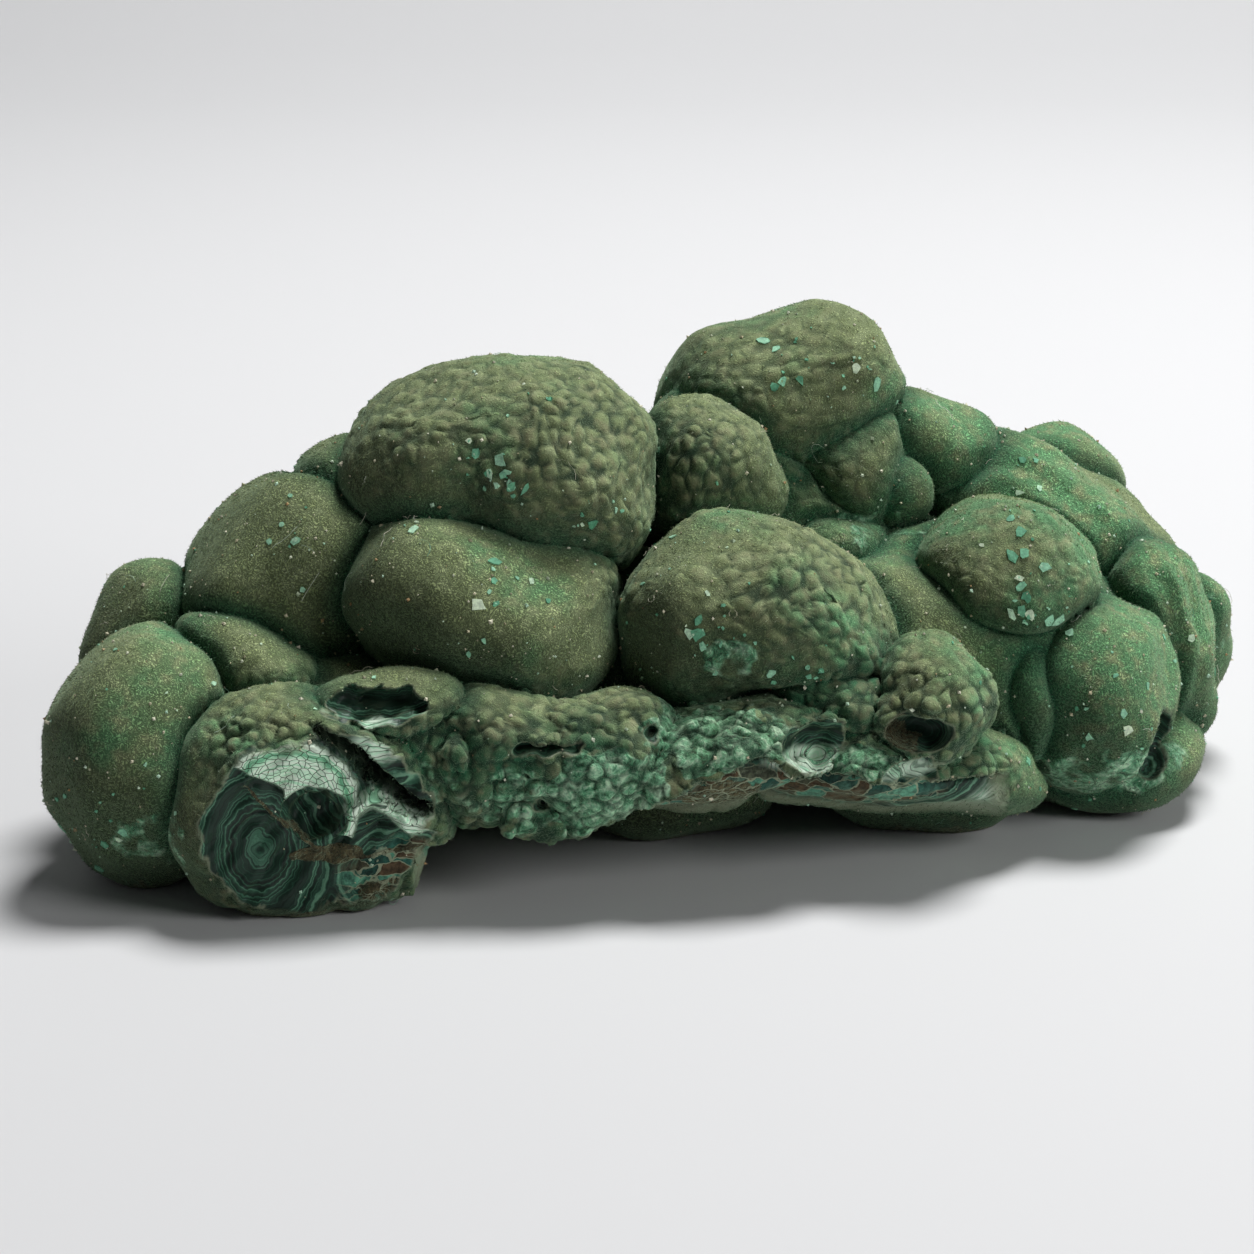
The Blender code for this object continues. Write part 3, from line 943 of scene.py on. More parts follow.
def add_needles(name, count, weight):
    places, normals, crease = random_places(count, weight)
    tilt = rng.uniform(*NEEDLE_TILT, count)[:, None]
    pointing = np.cos(tilt) * normals + np.sin(tilt) * comb(places, normals, 0.6)
    side = unit(np.cross(pointing, normals))
    up = np.cross(pointing, side)
    radius = NEEDLE_RADIUS * rng.uniform(0.7, 1.2, count)[:, None]
    base = places - 0.03 * normals
    corners = [base + radius * (math.cos(a) * side + math.sin(a) * up) for a in (0, 2 * math.pi / 3, 4 * math.pi / 3)]
    tips = base + rng.uniform(*NEEDLE_LENGTH, count)[:, None] * pointing
    points = inside_box(np.stack([*corners, tips], axis=1).reshape(-1, 3))
    first = 4 * np.arange(count)[:, None, None]
    faces = (first + np.array([(0, 2, 1), (0, 1, 3), (1, 2, 3), (2, 0, 3)])).reshape(-1, 3)
    thing = mesh_object(name, points, faces)
    # Painted shade: needles in creases and under the bubbles get the dark crease colour.
    store(thing, "crease", np.repeat(crease, 4))
    # The needles get the same painted light on tops and the right side as the skin.
    store(thing, "wear_and_painted_light", np.repeat(painted_light_and_dust(normals), 4))
    store(thing, "tint", np.repeat(rng.random(count), 4))
    store(thing, "tip", np.tile([0, 0, 0, 1], count))
    print(name, "triangles", len(faces))
    return thing


velvety = (1 - face_mean(skin_zones["broken"])).clip(0) * (1 - 0.75 * face_mean(skin_zones["bare"]))
velvety *= (face_middle[:, 2] > 1.5) * (1 - 0.93 * face_mean(skin_zones["paved"]))
face_back = np.clip((face_middle[:, 1] - 6) / 10, 0, 1)
face_left = face_middle[:, 0] < 4
needle_weights = {
    "needles_left": velvety * (1 - face_back) * face_left,
    "needles_right": velvety * (1 - face_back) * ~face_left,
    "needles_back": velvety * face_back,
}
needles = [add_needles(name, NEEDLES[name], needle_weights[name]) for name in NEEDLES]

# %% [markdown]
# ## Specks, chips and lint
#
# The velvet holds what fell on it: pale dust specks everywhere, flat mint chips of
# broken malachite in loose clusters, and a few lint hairs. A chip is a thin plate with
# an uneven outline whose corners are moved onto the skin, so that it lies flush.

# %% Specks
SPECKS = 4200


def add_specks(count):
    places, normals, _ = random_places(count, (0.25 + velvety) * (face_middle[:, 2] > 2))
    size = 0.09 + 0.21 * rng.random(count) ** 3
    side = comb(places, normals, 3.0)
    other = np.cross(normals, side)
    axes = (side, other, -side, -other, normals, -normals)
    stretch = rng.uniform(0.6, 1.4, (6, count)) * size
    points = np.stack([places + 0.08 * normals + stretch[i][:, None] * axes[i] for i in range(6)], axis=1)
    ring = [(i, (i + 1) % 4) for i in range(4)]
    pattern = [(a, b, 4) for a, b in ring] + [(b, a, 5) for a, b in ring]
    faces = (6 * np.arange(count)[:, None, None] + np.array(pattern)).reshape(-1, 3)
    thing = mesh_object("specks", inside_box(points.reshape(-1, 3)), faces)
    store(thing, "tint", np.repeat(rng.random(count), 6))
    print("specks", count, "triangles", len(faces))
    return thing


specks = add_specks(SPECKS)

# %% Chips
CHIP_CLUSTERS = [
    ((-15.1, 48), 3.5, 26, 0.75),
    ((-18.6, 52.4), 2.2, 10, 0.7),
    ((-9.7, 55.8), 1.5, 5, 0.7),
    ((-5.8, 51.3), 3.0, 14, 0.8),
    ((-25.2, 42.9), 0.6, 2, 1.5),
    ((-13.9, 36.8), 2.0, 9, 0.8),
    ((10.3, 30.9), 4.0, 22, 0.8),
    ((21.3, 26), 2.5, 12, 0.7),
    ((20.3, 56.6), 6.0, 18, 0.7),
    ((29.7, 55.5), 2.5, 10, 0.8),
    ((47.6, 35.2), 7.0, 22, 0.8),
    ((51, 28.8), 4.0, 18, 0.7),
    ((39.4, 19.9), 3.0, 14, 0.7),
    ((-40, 40.5), 3.0, 10, 0.6),
    ((-61.7, 9.5), 5.0, 16, 0.7),
    ((-3, 42), 3.0, 12, 0.6),
    ((60, 14), 6.0, 16, 0.6),
]
LOOSE_CHIPS = 260
CHIP_THICKNESS = 0.14


def front_place(column, height):
    """The frontmost velvet at a place picked on the stone as seen from the front."""
    near = np.hypot(face_middle[:, 0] - column, face_middle[:, 2] - height) < 0.9
    near &= velvety > 0.3
    if not near.any():
        return None
    found = np.flatnonzero(near)[face_middle[near, 1].argmin()]
    return face_middle[found], unit(skin_normals[skin_triangles[found]].mean(axis=0, keepdims=True))[0]


def chip_places():
    spots = []
    for (column, height), radius, count, size in CHIP_CLUSTERS:
        for _ in range(count):
            dx, dz = rng.normal(0, 0.6 * radius, 2)
            spot = front_place(column + dx, height + dz)
            if spot:
                spots.append((*spot, size * (0.2 + 1.3 * rng.random() ** 2.4)))
    loose, loose_normals, _ = random_places(LOOSE_CHIPS, velvety)
    sizes = 0.2 + 0.6 * rng.random(LOOSE_CHIPS) ** 3
    return spots + list(zip(loose, loose_normals, sizes))


def add_chips():
    spots = chip_places()
    corners = rng.integers(5, 9, len(spots))
    flat, normals, tints = [], [], []
    for (place, normal, size), count in zip(spots, corners):
        side = unit(np.cross(normal, rng.normal(size=3))[None])[0]
        other = rng.uniform(0.5, 1.0) * np.cross(normal, side)
        turn = 2 * math.pi * (np.arange(count) + rng.uniform(-0.3, 0.3, count)) / count
        reach = size * rng.uniform(0.55, 1.1, count)
        flat.append(place + (reach * np.cos(turn))[:, None] * side + (reach * np.sin(turn))[:, None] * other)
        normals.append(np.tile(normal, (count, 1)))
        tints.append(np.full(count, rng.random()))
    flat, normals, tints = (np.concatenate(rows) for rows in (flat, normals, tints))
    for _ in range(2):
        flat -= stone_distance(flat).clip(-0.6, 0.6)[:, None] * normals
    points = np.concatenate([flat - 0.06 * normals, flat + CHIP_THICKNESS * normals])
    faces = []
    for first, count in zip(np.cumsum(corners) - corners, corners):
        low = [int(first + i) for i in range(count)]
        high = [int(len(flat) + first + i) for i in range(count)]
        faces += [high, low[::-1]]
        faces += [[low[i - 1], low[i], high[i], high[i - 1]] for i in range(count)]
    mesh = bpy.data.meshes.new("chips")
    mesh.from_pydata(((inside_box(points) - MIDDLE) * MM).tolist(), [], faces)
    thing = bpy.data.objects.new("chips", mesh)
    bpy.context.scene.collection.objects.link(thing)
    store(thing, "tint", np.tile(tints, 2))
    print("chips", len(spots), "faces", len(faces))
    return thing


chips = add_chips()

# %% Lint
LINT = 150
LINT_RADIUS = 0.032
LINT_STEPS = 6


def add_lint(count):
    """Fine curved fibres caught in the velvet, as closed three-sided threads."""
    start, normals, _ = random_places(count, velvety * (1 - 0.6 * face_back))
    heading = comb(start, normals, 2.0)
    length = rng.uniform(1.0, 4.0, count)
    bend = rng.normal(0, 0.5, count)
    path = [start + 0.25 * normals]
    for _ in range(LINT_STEPS):
        side = np.cross(normals, heading)
        heading = unit(heading + bend[:, None] * side)
        here = path[-1] + (length / LINT_STEPS)[:, None] * heading
        here -= (stone_distance(here) - rng.uniform(0.2, 0.6, count)).clip(-1, 1)[:, None] * normals
        path.append(here)
    rings_of_points = []
    for place in path:
        side = np.cross(normals, heading)
        for angle in (0, 2 * math.pi / 3, 4 * math.pi / 3):
            rings_of_points.append(place + LINT_RADIUS * (math.cos(angle) * side + math.sin(angle) * normals))
    points = np.stack(rings_of_points, axis=1)
    pattern = [(2, 1, 0), tuple(3 * LINT_STEPS + i for i in range(3))]
    for step in range(LINT_STEPS):
        for i in range(3):
            a, b = 3 * step + i, 3 * step + (i + 1) % 3
            pattern += [(a, b, b + 3), (a, b + 3, a + 3)]
    size = 3 * (LINT_STEPS + 1)
    faces = (size * np.arange(count)[:, None, None] + np.array(pattern)).reshape(-1, 3)
    thing = mesh_object("lint", inside_box(points.reshape(-1, 3)), faces)
    store(thing, "tint", np.repeat(rng.random(count), size))
    print("lint", count, "triangles", len(faces))
    return thing


lint = add_lint(LINT)

# %% [markdown]
# ## Small tools for materials
#
# A material is a graph of nodes. `node` adds one and sets or links its inputs in one
# line, and `shader_group` starts a group with named inputs and outputs.

# %% Node helpers
def node(tree, kind, inputs=None, **settings):
    made = tree.nodes.new(kind)
    for key, value in settings.items():
        setattr(made, key, value)
    for key, value in (inputs or {}).items():
        if isinstance(value, bpy.types.NodeSocket):
            tree.links.new(value, made.inputs[key])
        else:
            made.inputs[key].default_value = value
    return made


def maths(tree, operation, first, second=0.0, clamp=False):
    return node(tree, "ShaderNodeMath", {0: first, 1: second}, operation=operation, use_clamp=clamp).outputs[0]


def mixed(tree, share, first, second, blend_type="MIX"):
    made = node(tree, "ShaderNodeMix", data_type="RGBA", blend_type=blend_type, clamp_factor=True)
    for key, value in ((0, share), (6, first), (7, second)):
        if isinstance(value, bpy.types.NodeSocket):
            tree.links.new(value, made.inputs[key])
        else:
            made.inputs[key].default_value = value if key == 0 else (*value, 1)
    return made.outputs[2]


def stepped(tree, value, low, high, to_low=0.0, to_high=1.0):
    made = node(tree, "ShaderNodeMapRange", {0: value, 1: low, 2: high, 3: to_low, 4: to_high}, interpolation_type="SMOOTHSTEP")
    return made.outputs[0]


def named(tree, name):
    return node(tree, "ShaderNodeAttribute", attribute_name=name).outputs["Fac"]


def ramp(tree, value, stops):
    made = node(tree, "ShaderNodeValToRGB", {0: value})
    elements = made.color_ramp.elements
    while len(elements) < len(stops):
        elements.new(0.5)
    for element, (place, colour) in zip(elements, stops):
        element.position = place
        element.color = (*colour, 1)
    return made.outputs["Color"]


def shader_group(name, inputs, outputs):
    tree = bpy.data.node_groups.new(name, "ShaderNodeTree")
    for socket_name, kind, default in inputs:
        socket = tree.interface.new_socket(socket_name, in_out="INPUT", socket_type=kind)
        if default is not None:
            socket.default_value = default
    for socket_name, kind in outputs:
        tree.interface.new_socket(socket_name, in_out="OUTPUT", socket_type=kind)
    return tree, tree.nodes.new("NodeGroupInput").outputs, tree.nodes.new("NodeGroupOutput").inputs


def use_group(tree, group, **values):
    made = tree.nodes.new("ShaderNodeGroup")
    made.node_tree = group
    for key, value in values.items():
        socket = made.inputs[key.replace("_", " ")]
        if isinstance(value, bpy.types.NodeSocket):
            tree.links.new(value, socket)
        else:
            socket.default_value = value
    return made.outputs


# %% [markdown]
# ## Velvet
#
# Between the needles lies the rest of the felt, too fine to model: needles that catch
# light and look olive, in winding strokes, over gaps that are nearly black green. The
# contour lines of a smooth noise wind about just like that. Tops and the right side are
# painted paler as painted light, partly dust, and fronts and undersides darker as painted
# shade; creases are emerald and painted darker as shade, and the right end is greener. The
# skin and the needles share this group, so they match.

# %% The velvet group
FLOAT = "NodeSocketFloat"
COLOUR = "NodeSocketColor"
VECTOR = "NodeSocketVector"

velvet_group, velvet_in, velvet_out = shader_group(
    "Velvet",
    [("Place", VECTOR, None), ("Crease", FLOAT, 0.0), ("Worn", FLOAT, 0.5)],
    [("Color", COLOUR), ("Plain", COLOUR), ("Strokes", FLOAT)],
)
broad = node(velvet_group, "ShaderNodeTexNoise", {"Vector": velvet_in["Place"], "Scale": 0.075, "Detail": 2.0})
fine = node(velvet_group, "ShaderNodeTexNoise", {"Vector": velvet_in["Place"], "Scale": 0.5, "Detail": 3.0})
swirl = node(velvet_group, "ShaderNodeTexNoise", {"Vector": velvet_in["Place"], "Scale": 0.62, "Detail": 1.0})
hair = node(velvet_group, "ShaderNodeTexNoise", {"Vector": velvet_in["Place"], "Scale": 3.6, "Detail": 2.0})
right = node(velvet_group, "ShaderNodeSeparateXYZ", {0: velvet_in["Place"]}).outputs["X"]
green_bias = maths(velvet_group, "ADD", broad.outputs["Fac"], stepped(velvet_group, right, 0, 60, 0, 0.20))
green_share = stepped(velvet_group, green_bias, 0.50, 0.74)
body_colour = mixed(velvet_group, green_share, (0.165, 0.205, 0.098), (0.105, 0.260, 0.125))
dusty = stepped(velvet_group, fine.outputs["Fac"], 0.4, 0.75)
body_colour = mixed(velvet_group, dusty, body_colour, (0.240, 0.285, 0.155))
# Painted light and shade: the velvet is about four times lighter on tops and the right side than on fronts and
# undersides; on tops it is partly dust.
dust_and_painted_light_factor = mixed(velvet_group, velvet_in["Worn"], (0.46, 0.48, 0.44), (1.85, 1.8, 1.75))
body_colour = mixed(velvet_group, 1.0, body_colour, dust_and_painted_light_factor, "MULTIPLY")
# Painted shade: creases and undersides are painted dark emerald; the green is the velvet's own, the darkness is shade.
body_colour = mixed(velvet_group, velvet_in["Crease"], body_colour, (0.020, 0.125, 0.058))
winding = maths(velvet_group, "MULTIPLY", swirl.outputs["Fac"], 16.0)
winding = maths(velvet_group, "ADD", winding, maths(velvet_group, "MULTIPLY", hair.outputs["Fac"], 2.2))
stroke = maths(velvet_group, "ABSOLUTE", maths(velvet_group, "SUBTRACT", maths(velvet_group, "FRACT", winding), 0.5))
strokes = stepped(velvet_group, stroke, 0.34, 0.08)
strokes = maths(velvet_group, "MULTIPLY", strokes, stepped(velvet_group, hair.outputs["Fac"], 0.36, 0.6))
shade = mixed(velvet_group, strokes, (0.44, 0.46, 0.44), (1.65, 1.65, 1.55))
velvet_group.links.new(mixed(velvet_group, 1.0, body_colour, shade, "MULTIPLY"), velvet_out["Color"])
velvet_group.links.new(body_colour, velvet_out["Plain"])
velvet_group.links.new(strokes, velvet_out["Strokes"])
print("velvet group nodes", len(velvet_group.nodes))

# %% [markdown]
# ## Growth bands
#
# A cut or broken malachite shows where it paused while growing: pale bands of fine
# needles, dark ones of coarse needles. A one-dimensional noise over the `rings`
# distance gives bands of uneven width that follow each other round every centre,
# because real bands never repeat evenly.

# %% The band group
band_group, band_in, band_out = shader_group(
    "Growth bands",
    [("Place", VECTOR, None), ("Rings", FLOAT, 0.0), ("Pale", FLOAT, 0.0)],
    [("Color", COLOUR), ("Height", FLOAT)],
)
wobble = node(band_group, "ShaderNodeTexNoise", {"Vector": band_in["Place"], "Scale": 0.7, "Detail": 3.0})
band_place = maths(band_group, "ADD", band_in["Rings"], maths(band_group, "MULTIPLY", wobble.outputs["Fac"], 0.9))
wide = node(band_group, "ShaderNodeTexNoise", {"W": band_place, "Scale": 0.9, "Detail": 1.0}, noise_dimensions="1D")
narrow = node(band_group, "ShaderNodeTexNoise", {"W": band_place, "Scale": 3.4, "Detail": 2.0}, noise_dimensions="1D")
level = maths(band_group, "ADD", maths(band_group, "MULTIPLY", wide.outputs["Fac"], 0.55), maths(band_group, "MULTIPLY", narrow.outputs["Fac"], 0.45))
dark_bands = ramp(band_group, level, [
    (0.36, (0.004, 0.012, 0.008)),
    (0.51, (0.012, 0.042, 0.026)),
    (0.59, (0.045, 0.140, 0.085)),
    (0.68, (0.160, 0.340, 0.220)),
])
pale_bands = ramp(band_group, level, [
    (0.30, (0.130, 0.420, 0.230)),
    (0.38, (0.340, 0.720, 0.450)),
    (0.45, (0.600, 0.920, 0.660)),
    (0.55, (0.800, 0.950, 0.780)),
])
band_colour = mixed(band_group, band_in["Pale"], dark_bands, pale_bands)
band_group.links.new(band_colour, band_out["Color"])
band_group.links.new(level, band_out["Height"])
print("band group nodes", len(band_group.nodes))

# %% [markdown]
# ## Crust, cells and limonite
#
# Brown earthy limonite and bare stone are mottled with crumbs, so one group speckles
# a colour. Where the crust was torn, thin cream walls part flat lens-shaped cells
# that run with the ledge: some are teal malachite, some filled with limonite. A cell
# pattern that is stretched and turned gives the lenses, and its border the walls.

# %% The crumb and cell groups
crumb_group, crumb_in, crumb_out = shader_group(
    "Crumbs",
    [("Place", VECTOR, None), ("Color", COLOUR, (0.1, 0.1, 0.06, 1)), ("Scale", FLOAT, 1.5), ("Contrast", FLOAT, 0.6)],
    [("Color", COLOUR), ("Height", FLOAT)],
)
crumb_noise = node(crumb_group, "ShaderNodeTexNoise", {"Vector": crumb_in["Place"], "Scale": crumb_in["Scale"], "Detail": 3.0, "Roughness": 0.7})
crumb_level = stepped(crumb_group, crumb_noise.outputs["Fac"], 0.3, 0.7)
crumb_dark = mixed(crumb_group, crumb_in["Contrast"], (1, 1, 1), (0.25, 0.25, 0.25))
crumb_light = mixed(crumb_group, crumb_in["Contrast"], (1, 1, 1), (1.8, 1.75, 1.6))
crumb_shade = mixed(crumb_group, crumb_level, crumb_dark, crumb_light)
crumb_group.links.new(mixed(crumb_group, 1.0, crumb_in["Color"], crumb_shade, "MULTIPLY"), crumb_out["Color"])
crumb_group.links.new(crumb_level, crumb_out["Height"])

cell_group, cell_in, cell_out = shader_group(
    "Lens cells",
    [("Place", VECTOR, None), ("Wall", FLOAT, 0.05)],
    [("Color", COLOUR), ("Walls", FLOAT)],
)
cell_bend = node(cell_group, "ShaderNodeTexNoise", {"Vector": cell_in["Place"], "Scale": 0.35, "Detail": 3.0})
cell_bent = node(
    cell_group, "ShaderNodeVectorMath", {0: cell_bend.outputs["Color"], 1: (2.4, 2.4, 2.4), 2: cell_in["Place"]},
    operation="MULTIPLY_ADD",
).outputs[0]
stretched = node(
    cell_group, "ShaderNodeMapping", {"Vector": cell_bent, "Rotation": (0, 0.35, 0), "Scale": (0.26, 0.3, 0.80)}
).outputs[0]
cell_kind = node(cell_group, "ShaderNodeTexVoronoi", {"Vector": stretched, "Scale": 1.0})
cell_border = node(
    cell_group, "ShaderNodeTexVoronoi", {"Vector": stretched, "Scale": 1.0}, feature="DISTANCE_TO_EDGE"
)
cell_hue = node(cell_group, "ShaderNodeSeparateColor", {0: cell_kind.outputs["Color"]}).outputs[0]
cell_colour = ramp(cell_group, cell_hue, [
    (0.05, (0.012, 0.050, 0.040)),
    (0.30, (0.035, 0.140, 0.110)),
    (0.50, (0.090, 0.055, 0.030)),
    (0.70, (0.055, 0.045, 0.028)),
    (0.80, (0.090, 0.270, 0.190)),
])
cell_walls = maths(cell_group, "LESS_THAN", cell_border.outputs["Distance"], cell_in["Wall"])
cell_shade = use_group(cell_group, crumb_group, Place=cell_in["Place"], Color=cell_colour, Scale=1.3, Contrast=0.8)
cell_group.links.new(cell_shade["Color"], cell_out["Color"])
cell_group.links.new(cell_walls, cell_out["Walls"])
print("crumb group nodes", len(crumb_group.nodes), "cell group nodes", len(cell_group.nodes))

# %% [markdown]
# ## The skin material
#
# The finish is laid on in the order it happened: velvet first, bare green where the
# velvet is rubbed off, banded malachite where it is broken, cells and limonite in the
# torn crust, and a cream line where the crust's edge is seen. Each layer has a mask
# from the stored zones, roughened by noise so that no border is clean.

# %% Build the skin material
def start_material(name, roughness=0.8):
    material = bpy.data.materials.new(name)
    material.use_nodes = True
    tree = material.node_tree
    shader = tree.nodes["Principled BSDF"]
    shader.inputs["Roughness"].default_value = roughness
    position = node(tree, "ShaderNodeTexCoord").outputs["Object"]
    place = node(tree, "ShaderNodeVectorMath", {0: position, 3: 1 / MM}, operation="SCALE").outputs[0]
    return material, tree, shader, place


def ragged_mask(tree, place, share, scale=0.9, spread=0.5):
    rough = node(tree, "ShaderNodeTexNoise", {"Vector": place, "Scale": scale, "Detail": 3.0}).outputs["Fac"]
    shifted = maths(tree, "ADD", share, maths(tree, "MULTIPLY", maths(tree, "SUBTRACT", rough, 0.5), spread * 2))
    return maths(tree, "MULTIPLY", stepped(tree, shifted, 0.45, 0.62), stepped(tree, share, 0.02, 0.1))


def arch_cracks(tree, place, band):
    """Brick-like cracks that run along and across the bands of the arch."""
    parts = node(tree, "ShaderNodeSeparateXYZ", {0: place}).outputs
    right = maths(tree, "SUBTRACT", parts["X"], ARCH_CENTRE[0] - MIDDLE[0])
    up = maths(tree, "SUBTRACT", parts["Z"], ARCH_CENTRE[1])
    around = maths(tree, "MULTIPLY", maths(tree, "ARCTAN2", up, right), 6.5)
    wall = node(tree, "ShaderNodeCombineXYZ", {0: maths(tree, "MULTIPLY", band, 1.7), 1: around}).outputs[0]
    bricks = node(tree, "ShaderNodeTexVoronoi", {"Vector": wall, "Scale": 1.0}, voronoi_dimensions="2D")
    bricks.feature = "DISTANCE_TO_EDGE"
    return stepped(tree, bricks.outputs["Distance"], 0.07, 0.02)


def set_sheen(shader):
    """The felt glows where it is seen edge on."""
    shader.inputs["Sheen Weight"].default_value = 0.55
    shader.inputs["Sheen Roughness"].default_value = 0.4
    shader.inputs["Sheen Tint"].default_value = (0.62, 0.85, 0.55, 1)


def skin_material():
    material, tree, shader, place = start_material("malachite_skin")
    velvet = use_group(tree, velvet_group, Place=place, Crease=named(tree, "crease"), Worn=named(tree, "wear_and_painted_light"))
    bands = use_group(tree, band_group, Place=place, Rings=named(tree, "rings"), Pale=named(tree, "pale"))
    mottle = node(tree, "ShaderNodeTexNoise", {"Vector": place, "Scale": 0.55, "Detail": 4.0, "Roughness": 0.72})
    mottle.inputs["Distortion"].default_value = 0.8
    greens = ramp(tree, mottle.outputs["Fac"], [
        (0.36, (0.016, 0.075, 0.038)),
        (0.44, (0.090, 0.300, 0.160)),
        (0.52, (0.240, 0.530, 0.330)),
        (0.62, (0.500, 0.740, 0.530)),
    ])
    bare = use_group(tree, crumb_group, Place=place, Color=greens, Scale=1.6, Contrast=0.5)
    earth = use_group(tree, crumb_group, Place=place, Color=(0.080, 0.070, 0.038, 1), Scale=1.6, Contrast=0.8)
    lens = use_group(tree, cell_group, Place=place, Wall=0.032)
    broken = named(tree, "broken")
    pale = named(tree, "pale")
    paved = named(tree, "paved")
    matrix = maths(tree, "MULTIPLY", ragged_mask(tree, place, named(tree, "earth")), broken)
    cells = named(tree, "cells")
    wall = maths(tree, "MULTIPLY", cells, lens["Walls"])
    bare_share = ragged_mask(tree, place, named(tree, "bare"), 0.35)
    cracks = maths(tree, "MULTIPLY", arch_cracks(tree, place, named(tree, "rings")), maths(tree, "MULTIPLY", pale, broken))

    # Wear, not light: the nodule tops are rubbed tan where a noise says so.
    rub = node(tree, "ShaderNodeTexNoise", {"Vector": place, "Scale": 0.6, "Detail": 2.0}).outputs["Fac"]
    wear_and_painted_light = maths(tree, "MULTIPLY", paved, stepped(tree, rub, 0.45, 0.7, 0.0, 0.5))
    colour = mixed(tree, maths(tree, "MULTIPLY", paved, 0.65), velvet["Color"], velvet["Plain"])
    colour = mixed(tree, wear_and_painted_light, colour, (0.270, 0.250, 0.145))
    colour = mixed(tree, maths(tree, "MULTIPLY", bare_share, 0.85), colour, bare["Color"])
    # Painted shade: the gaps between nodules, nearly black.
    colour = mixed(tree, maths(tree, "MULTIPLY", named(tree, "gap_shade"), 0.88), colour, (0.005, 0.030, 0.015))
    colour = mixed(tree, broken, colour, bands["Color"])
    colour = mixed(tree, cells, colour, lens["Color"])
    colour = mixed(tree, matrix, colour, earth["Color"])
    colour = mixed(tree, maths(tree, "MULTIPLY", wall, 0.8), colour, (0.34, 0.38, 0.25))
    colour = mixed(tree, maths(tree, "MULTIPLY", cracks, 0.85), colour, (0.020, 0.060, 0.035))
    colour = mixed(tree, maths(tree, "MULTIPLY", named(tree, "rim"), 0.8), colour, (0.42, 0.46, 0.30))
    # Painted shade: the deep crack is painted nearly black.
    colour = mixed(tree, maths(tree, "MULTIPLY", named(tree, "crack_shade"), 0.93), colour, (0.006, 0.014, 0.009))
    tree.links.new(colour, shader.inputs["Base Color"])

    smooth = maths(tree, "MULTIPLY", broken, maths(tree, "SUBTRACT", 1.0, maths(tree, "MAXIMUM", matrix, cells)))
    roughness = maths(tree, "SUBTRACT", 0.9, maths(tree, "MULTIPLY", smooth, 0.42))
    tree.links.new(roughness, shader.inputs["Roughness"])

    whole = maths(tree, "SUBTRACT", 1.0, broken)
    height = maths(tree, "MULTIPLY", velvet["Strokes"], maths(tree, "MULTIPLY", whole, 0.10))
    height = maths(tree, "ADD", height, maths(tree, "MULTIPLY", maths(tree, "MULTIPLY", bands["Height"], broken), 0.15))
    height = maths(tree, "ADD", height, maths(tree, "MULTIPLY", maths(tree, "MULTIPLY", earth["Height"], matrix), 0.25))
    height = maths(tree, "ADD", height, maths(tree, "MULTIPLY", wall, 0.22))
    height = maths(tree, "ADD", height, maths(tree, "MULTIPLY", maths(tree, "MULTIPLY", mottle.outputs["Fac"], bare_share), 0.5))
    height = maths(tree, "SUBTRACT", height, maths(tree, "MULTIPLY", cracks, 0.2))
    bump = node(tree, "ShaderNodeBump", {"Height": height, "Strength": 1.0, "Distance": MM})
    tree.links.new(bump.outputs[0], shader.inputs["Normal"])
    shader.inputs["Specular IOR Level"].default_value = 0.3
    set_sheen(shader)
    return material


def needle_material():
    material, tree, shader, place = start_material("malachite_needles", 0.6)
    velvet = use_group(tree, velvet_group, Place=place, Crease=named(tree, "crease"), Worn=named(tree, "wear_and_painted_light"))
    tint = named(tree, "tint")
    pale_tip = maths(tree, "MULTIPLY", stepped(tree, tint, 0.2, 1.0, 0.1, 0.8), stepped(tree, named(tree, "tip"), 0.0, 0.8))
    # Painted shade: needle tips in creases and under the bubbles are painted dark green.
    tip_colour = mixed(tree, named(tree, "crease"), (0.36, 0.40, 0.25), (0.08, 0.30, 0.16))
    colour = mixed(tree, pale_tip, velvet["Color"], tip_colour)
    tree.links.new(colour, shader.inputs["Base Color"])
    set_sheen(shader)
    return material


def tinted_material(name, stops, roughness):
    """A plain matt finish whose colour differs from grain to grain."""
    material, tree, shader, place = start_material(name, roughness)
    grain = ramp(tree, named(tree, "tint"), stops)
    crumbs = use_group(tree, crumb_group, Place=place, Color=grain, Scale=2.5, Contrast=0.35)
    tree.links.new(crumbs["Color"], shader.inputs["Base Color"])
    return material


def dress(thing, material):
    thing.data.materials.append(material)
    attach(thing, "root")
    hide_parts("stone")


malachite_skin = skin_material()
for piece in skins:
    dress(piece, malachite_skin)
malachite_needles = needle_material()
for piece in needles:
    dress(piece, malachite_needles)
dress(specks, tinted_material("pale_specks", [
    (0.0, (0.50, 0.46, 0.30)),
    (0.5, (0.74, 0.72, 0.58)),
    (0.8, (0.45, 0.72, 0.55)),
    (0.95, (0.42, 0.27, 0.13)),
], 0.7))
dress(chips, tinted_material("mint_chips", [
    (0.0, (0.08, 0.30, 0.17)),
    (0.4, (0.20, 0.52, 0.33)),
    (0.8, (0.38, 0.68, 0.48)),
    (0.97, (0.62, 0.76, 0.56)),
], 0.75))
dress(lint, tinted_material("lint_fibres", [
    (0.0, (0.55, 0.52, 0.38)),
    (0.6, (0.70, 0.70, 0.60)),
    (1.0, (0.25, 0.55, 0.40)),
], 0.8))

# %% [markdown]
# ## Stage, light and camera
#
# The photo has the stone on a seamless pale sweep, with one large soft light above
# and to the right, so the bubbles are bright on their upper right and dark on the
# lower left. The camera looks 17 degrees down.

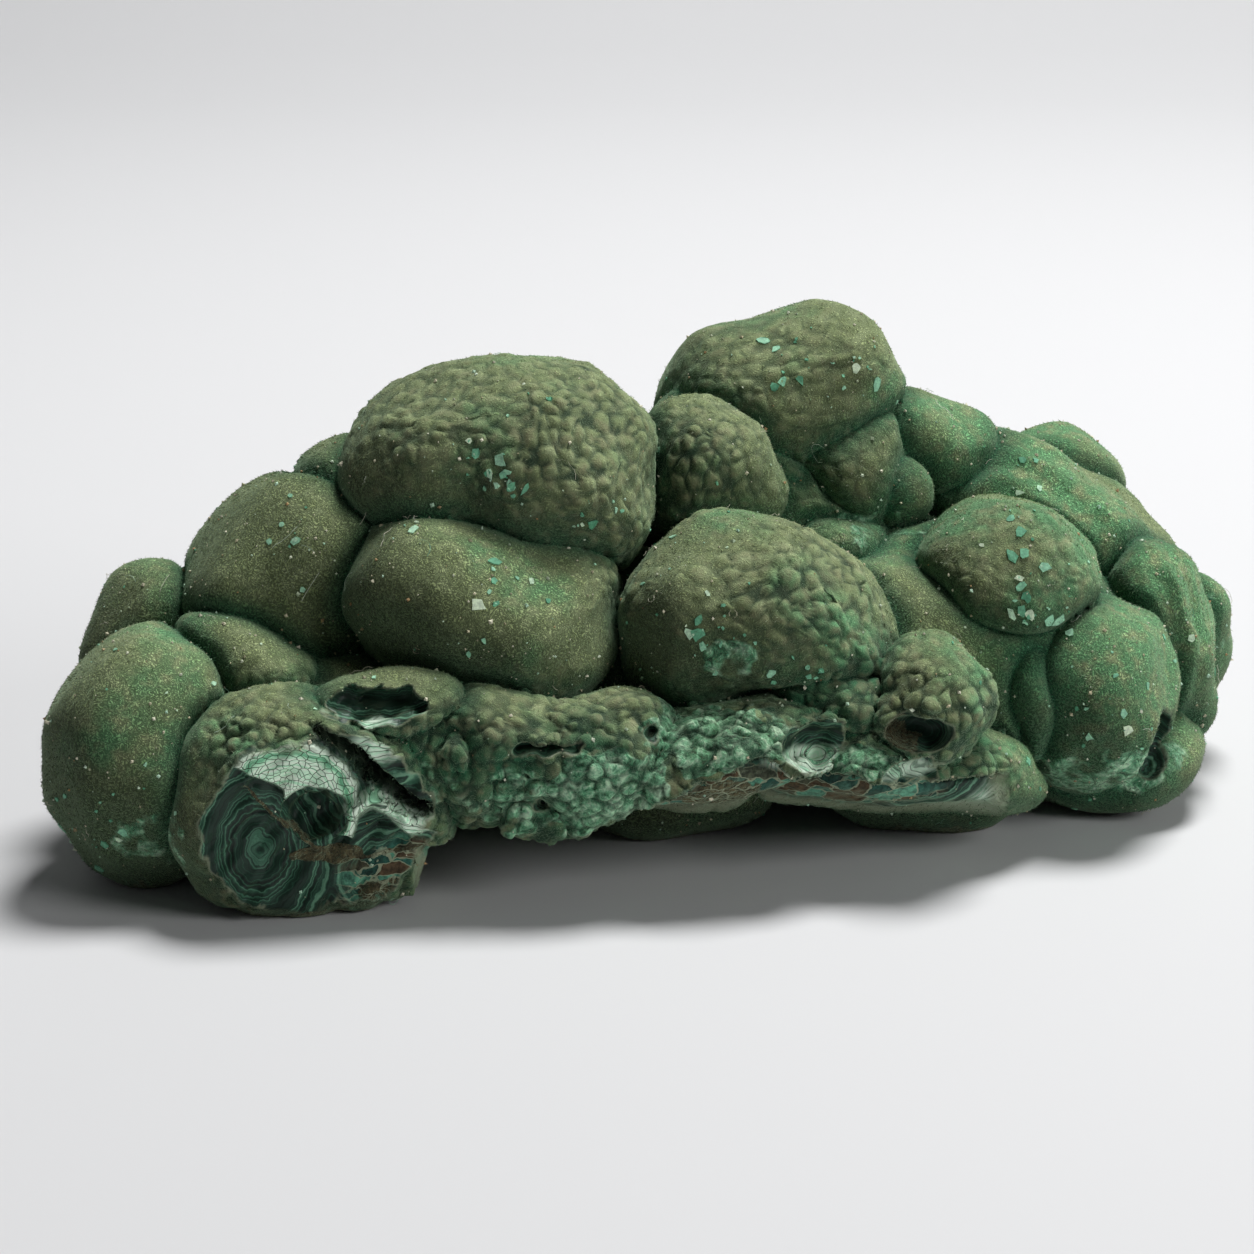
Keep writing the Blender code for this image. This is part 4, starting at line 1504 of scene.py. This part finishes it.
# %% Sweep
def sweep():
    """A floor that curves up into a wall, as one smooth sheet."""
    profile = [(-0.9, 0.0), (0.55, 0.0)]
    for turn in range(1, 13):
        angle = math.radians(90 * turn / 12)
        profile.append((0.55 + 0.45 * math.sin(angle), 0.45 - 0.45 * math.cos(angle)))
    profile.append((1.0, 2.2))
    points = [(x, y, z) for x in (-2.2, 2.2) for y, z in profile]
    count = len(profile)
    faces = [(i, i + 1, count + i + 1, count + i) for i in range(count - 1)]
    mesh = bpy.data.meshes.new("sweep")
    mesh.from_pydata(points, [], [face[::-1] for face in faces])
    mesh.shade_smooth()
    thing = bpy.data.objects.new("sweep", mesh)
    bpy.context.scene.collection.objects.link(thing)
    material = bpy.data.materials.new("pale_sweep")
    material.use_nodes = True
    shader = material.node_tree.nodes["Principled BSDF"]
    shader.inputs["Base Color"].default_value = (0.72, 0.722, 0.73, 1)
    shader.inputs["Roughness"].default_value = 0.7
    mesh.materials.append(material)


sweep()

# %% Lights
def area_light(name, place, aim, size, power, colour=(1, 1, 1)):
    data = bpy.data.lights.new(name, "AREA")
    data.shape = "DISK"
    data.size = size
    data.energy = power
    data.color = colour
    lamp = bpy.data.objects.new(name, data)
    lamp.location = place
    lamp.rotation_mode = "QUATERNION"
    lamp.rotation_quaternion = (Vector(aim) - Vector(place)).to_track_quat("-Z", "Y")
    bpy.context.scene.collection.objects.link(lamp)


area_light("key", (0.22, 0.30, 0.90), (0, 0, 0.02), 0.38, 10.2)
area_light("side", (0.75, -0.45, 0.45), (0, 0, 0.03), 0.4, 3.0)
world = bpy.data.worlds.new("room")
world.use_nodes = True
world.node_tree.nodes["Background"].inputs["Color"].default_value = (0.93, 0.95, 1.0, 1)
world.node_tree.nodes["Background"].inputs["Strength"].default_value = 0.05
bpy.context.scene.world = world
bpy.context.scene.view_settings.view_transform = "Standard"

# %% Camera
CAMERA_DISTANCE = 0.480
CAMERA_ELEVATION = math.radians(17)
PIXELS_PER_RADIAN = 3840
PHOTO_WIDTH = 1254
SENSOR = 36

target = Vector((-MIDDLE[0] * MM, -MIDDLE[1] * MM, 0.023))
back = Vector((0, -math.cos(CAMERA_ELEVATION), math.sin(CAMERA_ELEVATION)))
camera_data = bpy.data.cameras.new("camera")
camera_data.sensor_width = SENSOR
camera_data.lens = PIXELS_PER_RADIAN * SENSOR / PHOTO_WIDTH
camera_data.clip_start = 0.01
camera = bpy.data.objects.new("camera", camera_data)
camera.location = target + back * CAMERA_DISTANCE
camera.rotation_mode = "QUATERNION"
camera.rotation_quaternion = (-back).to_track_quat("-Z", "Y")
bpy.context.scene.collection.objects.link(camera)
bpy.context.scene.camera = camera
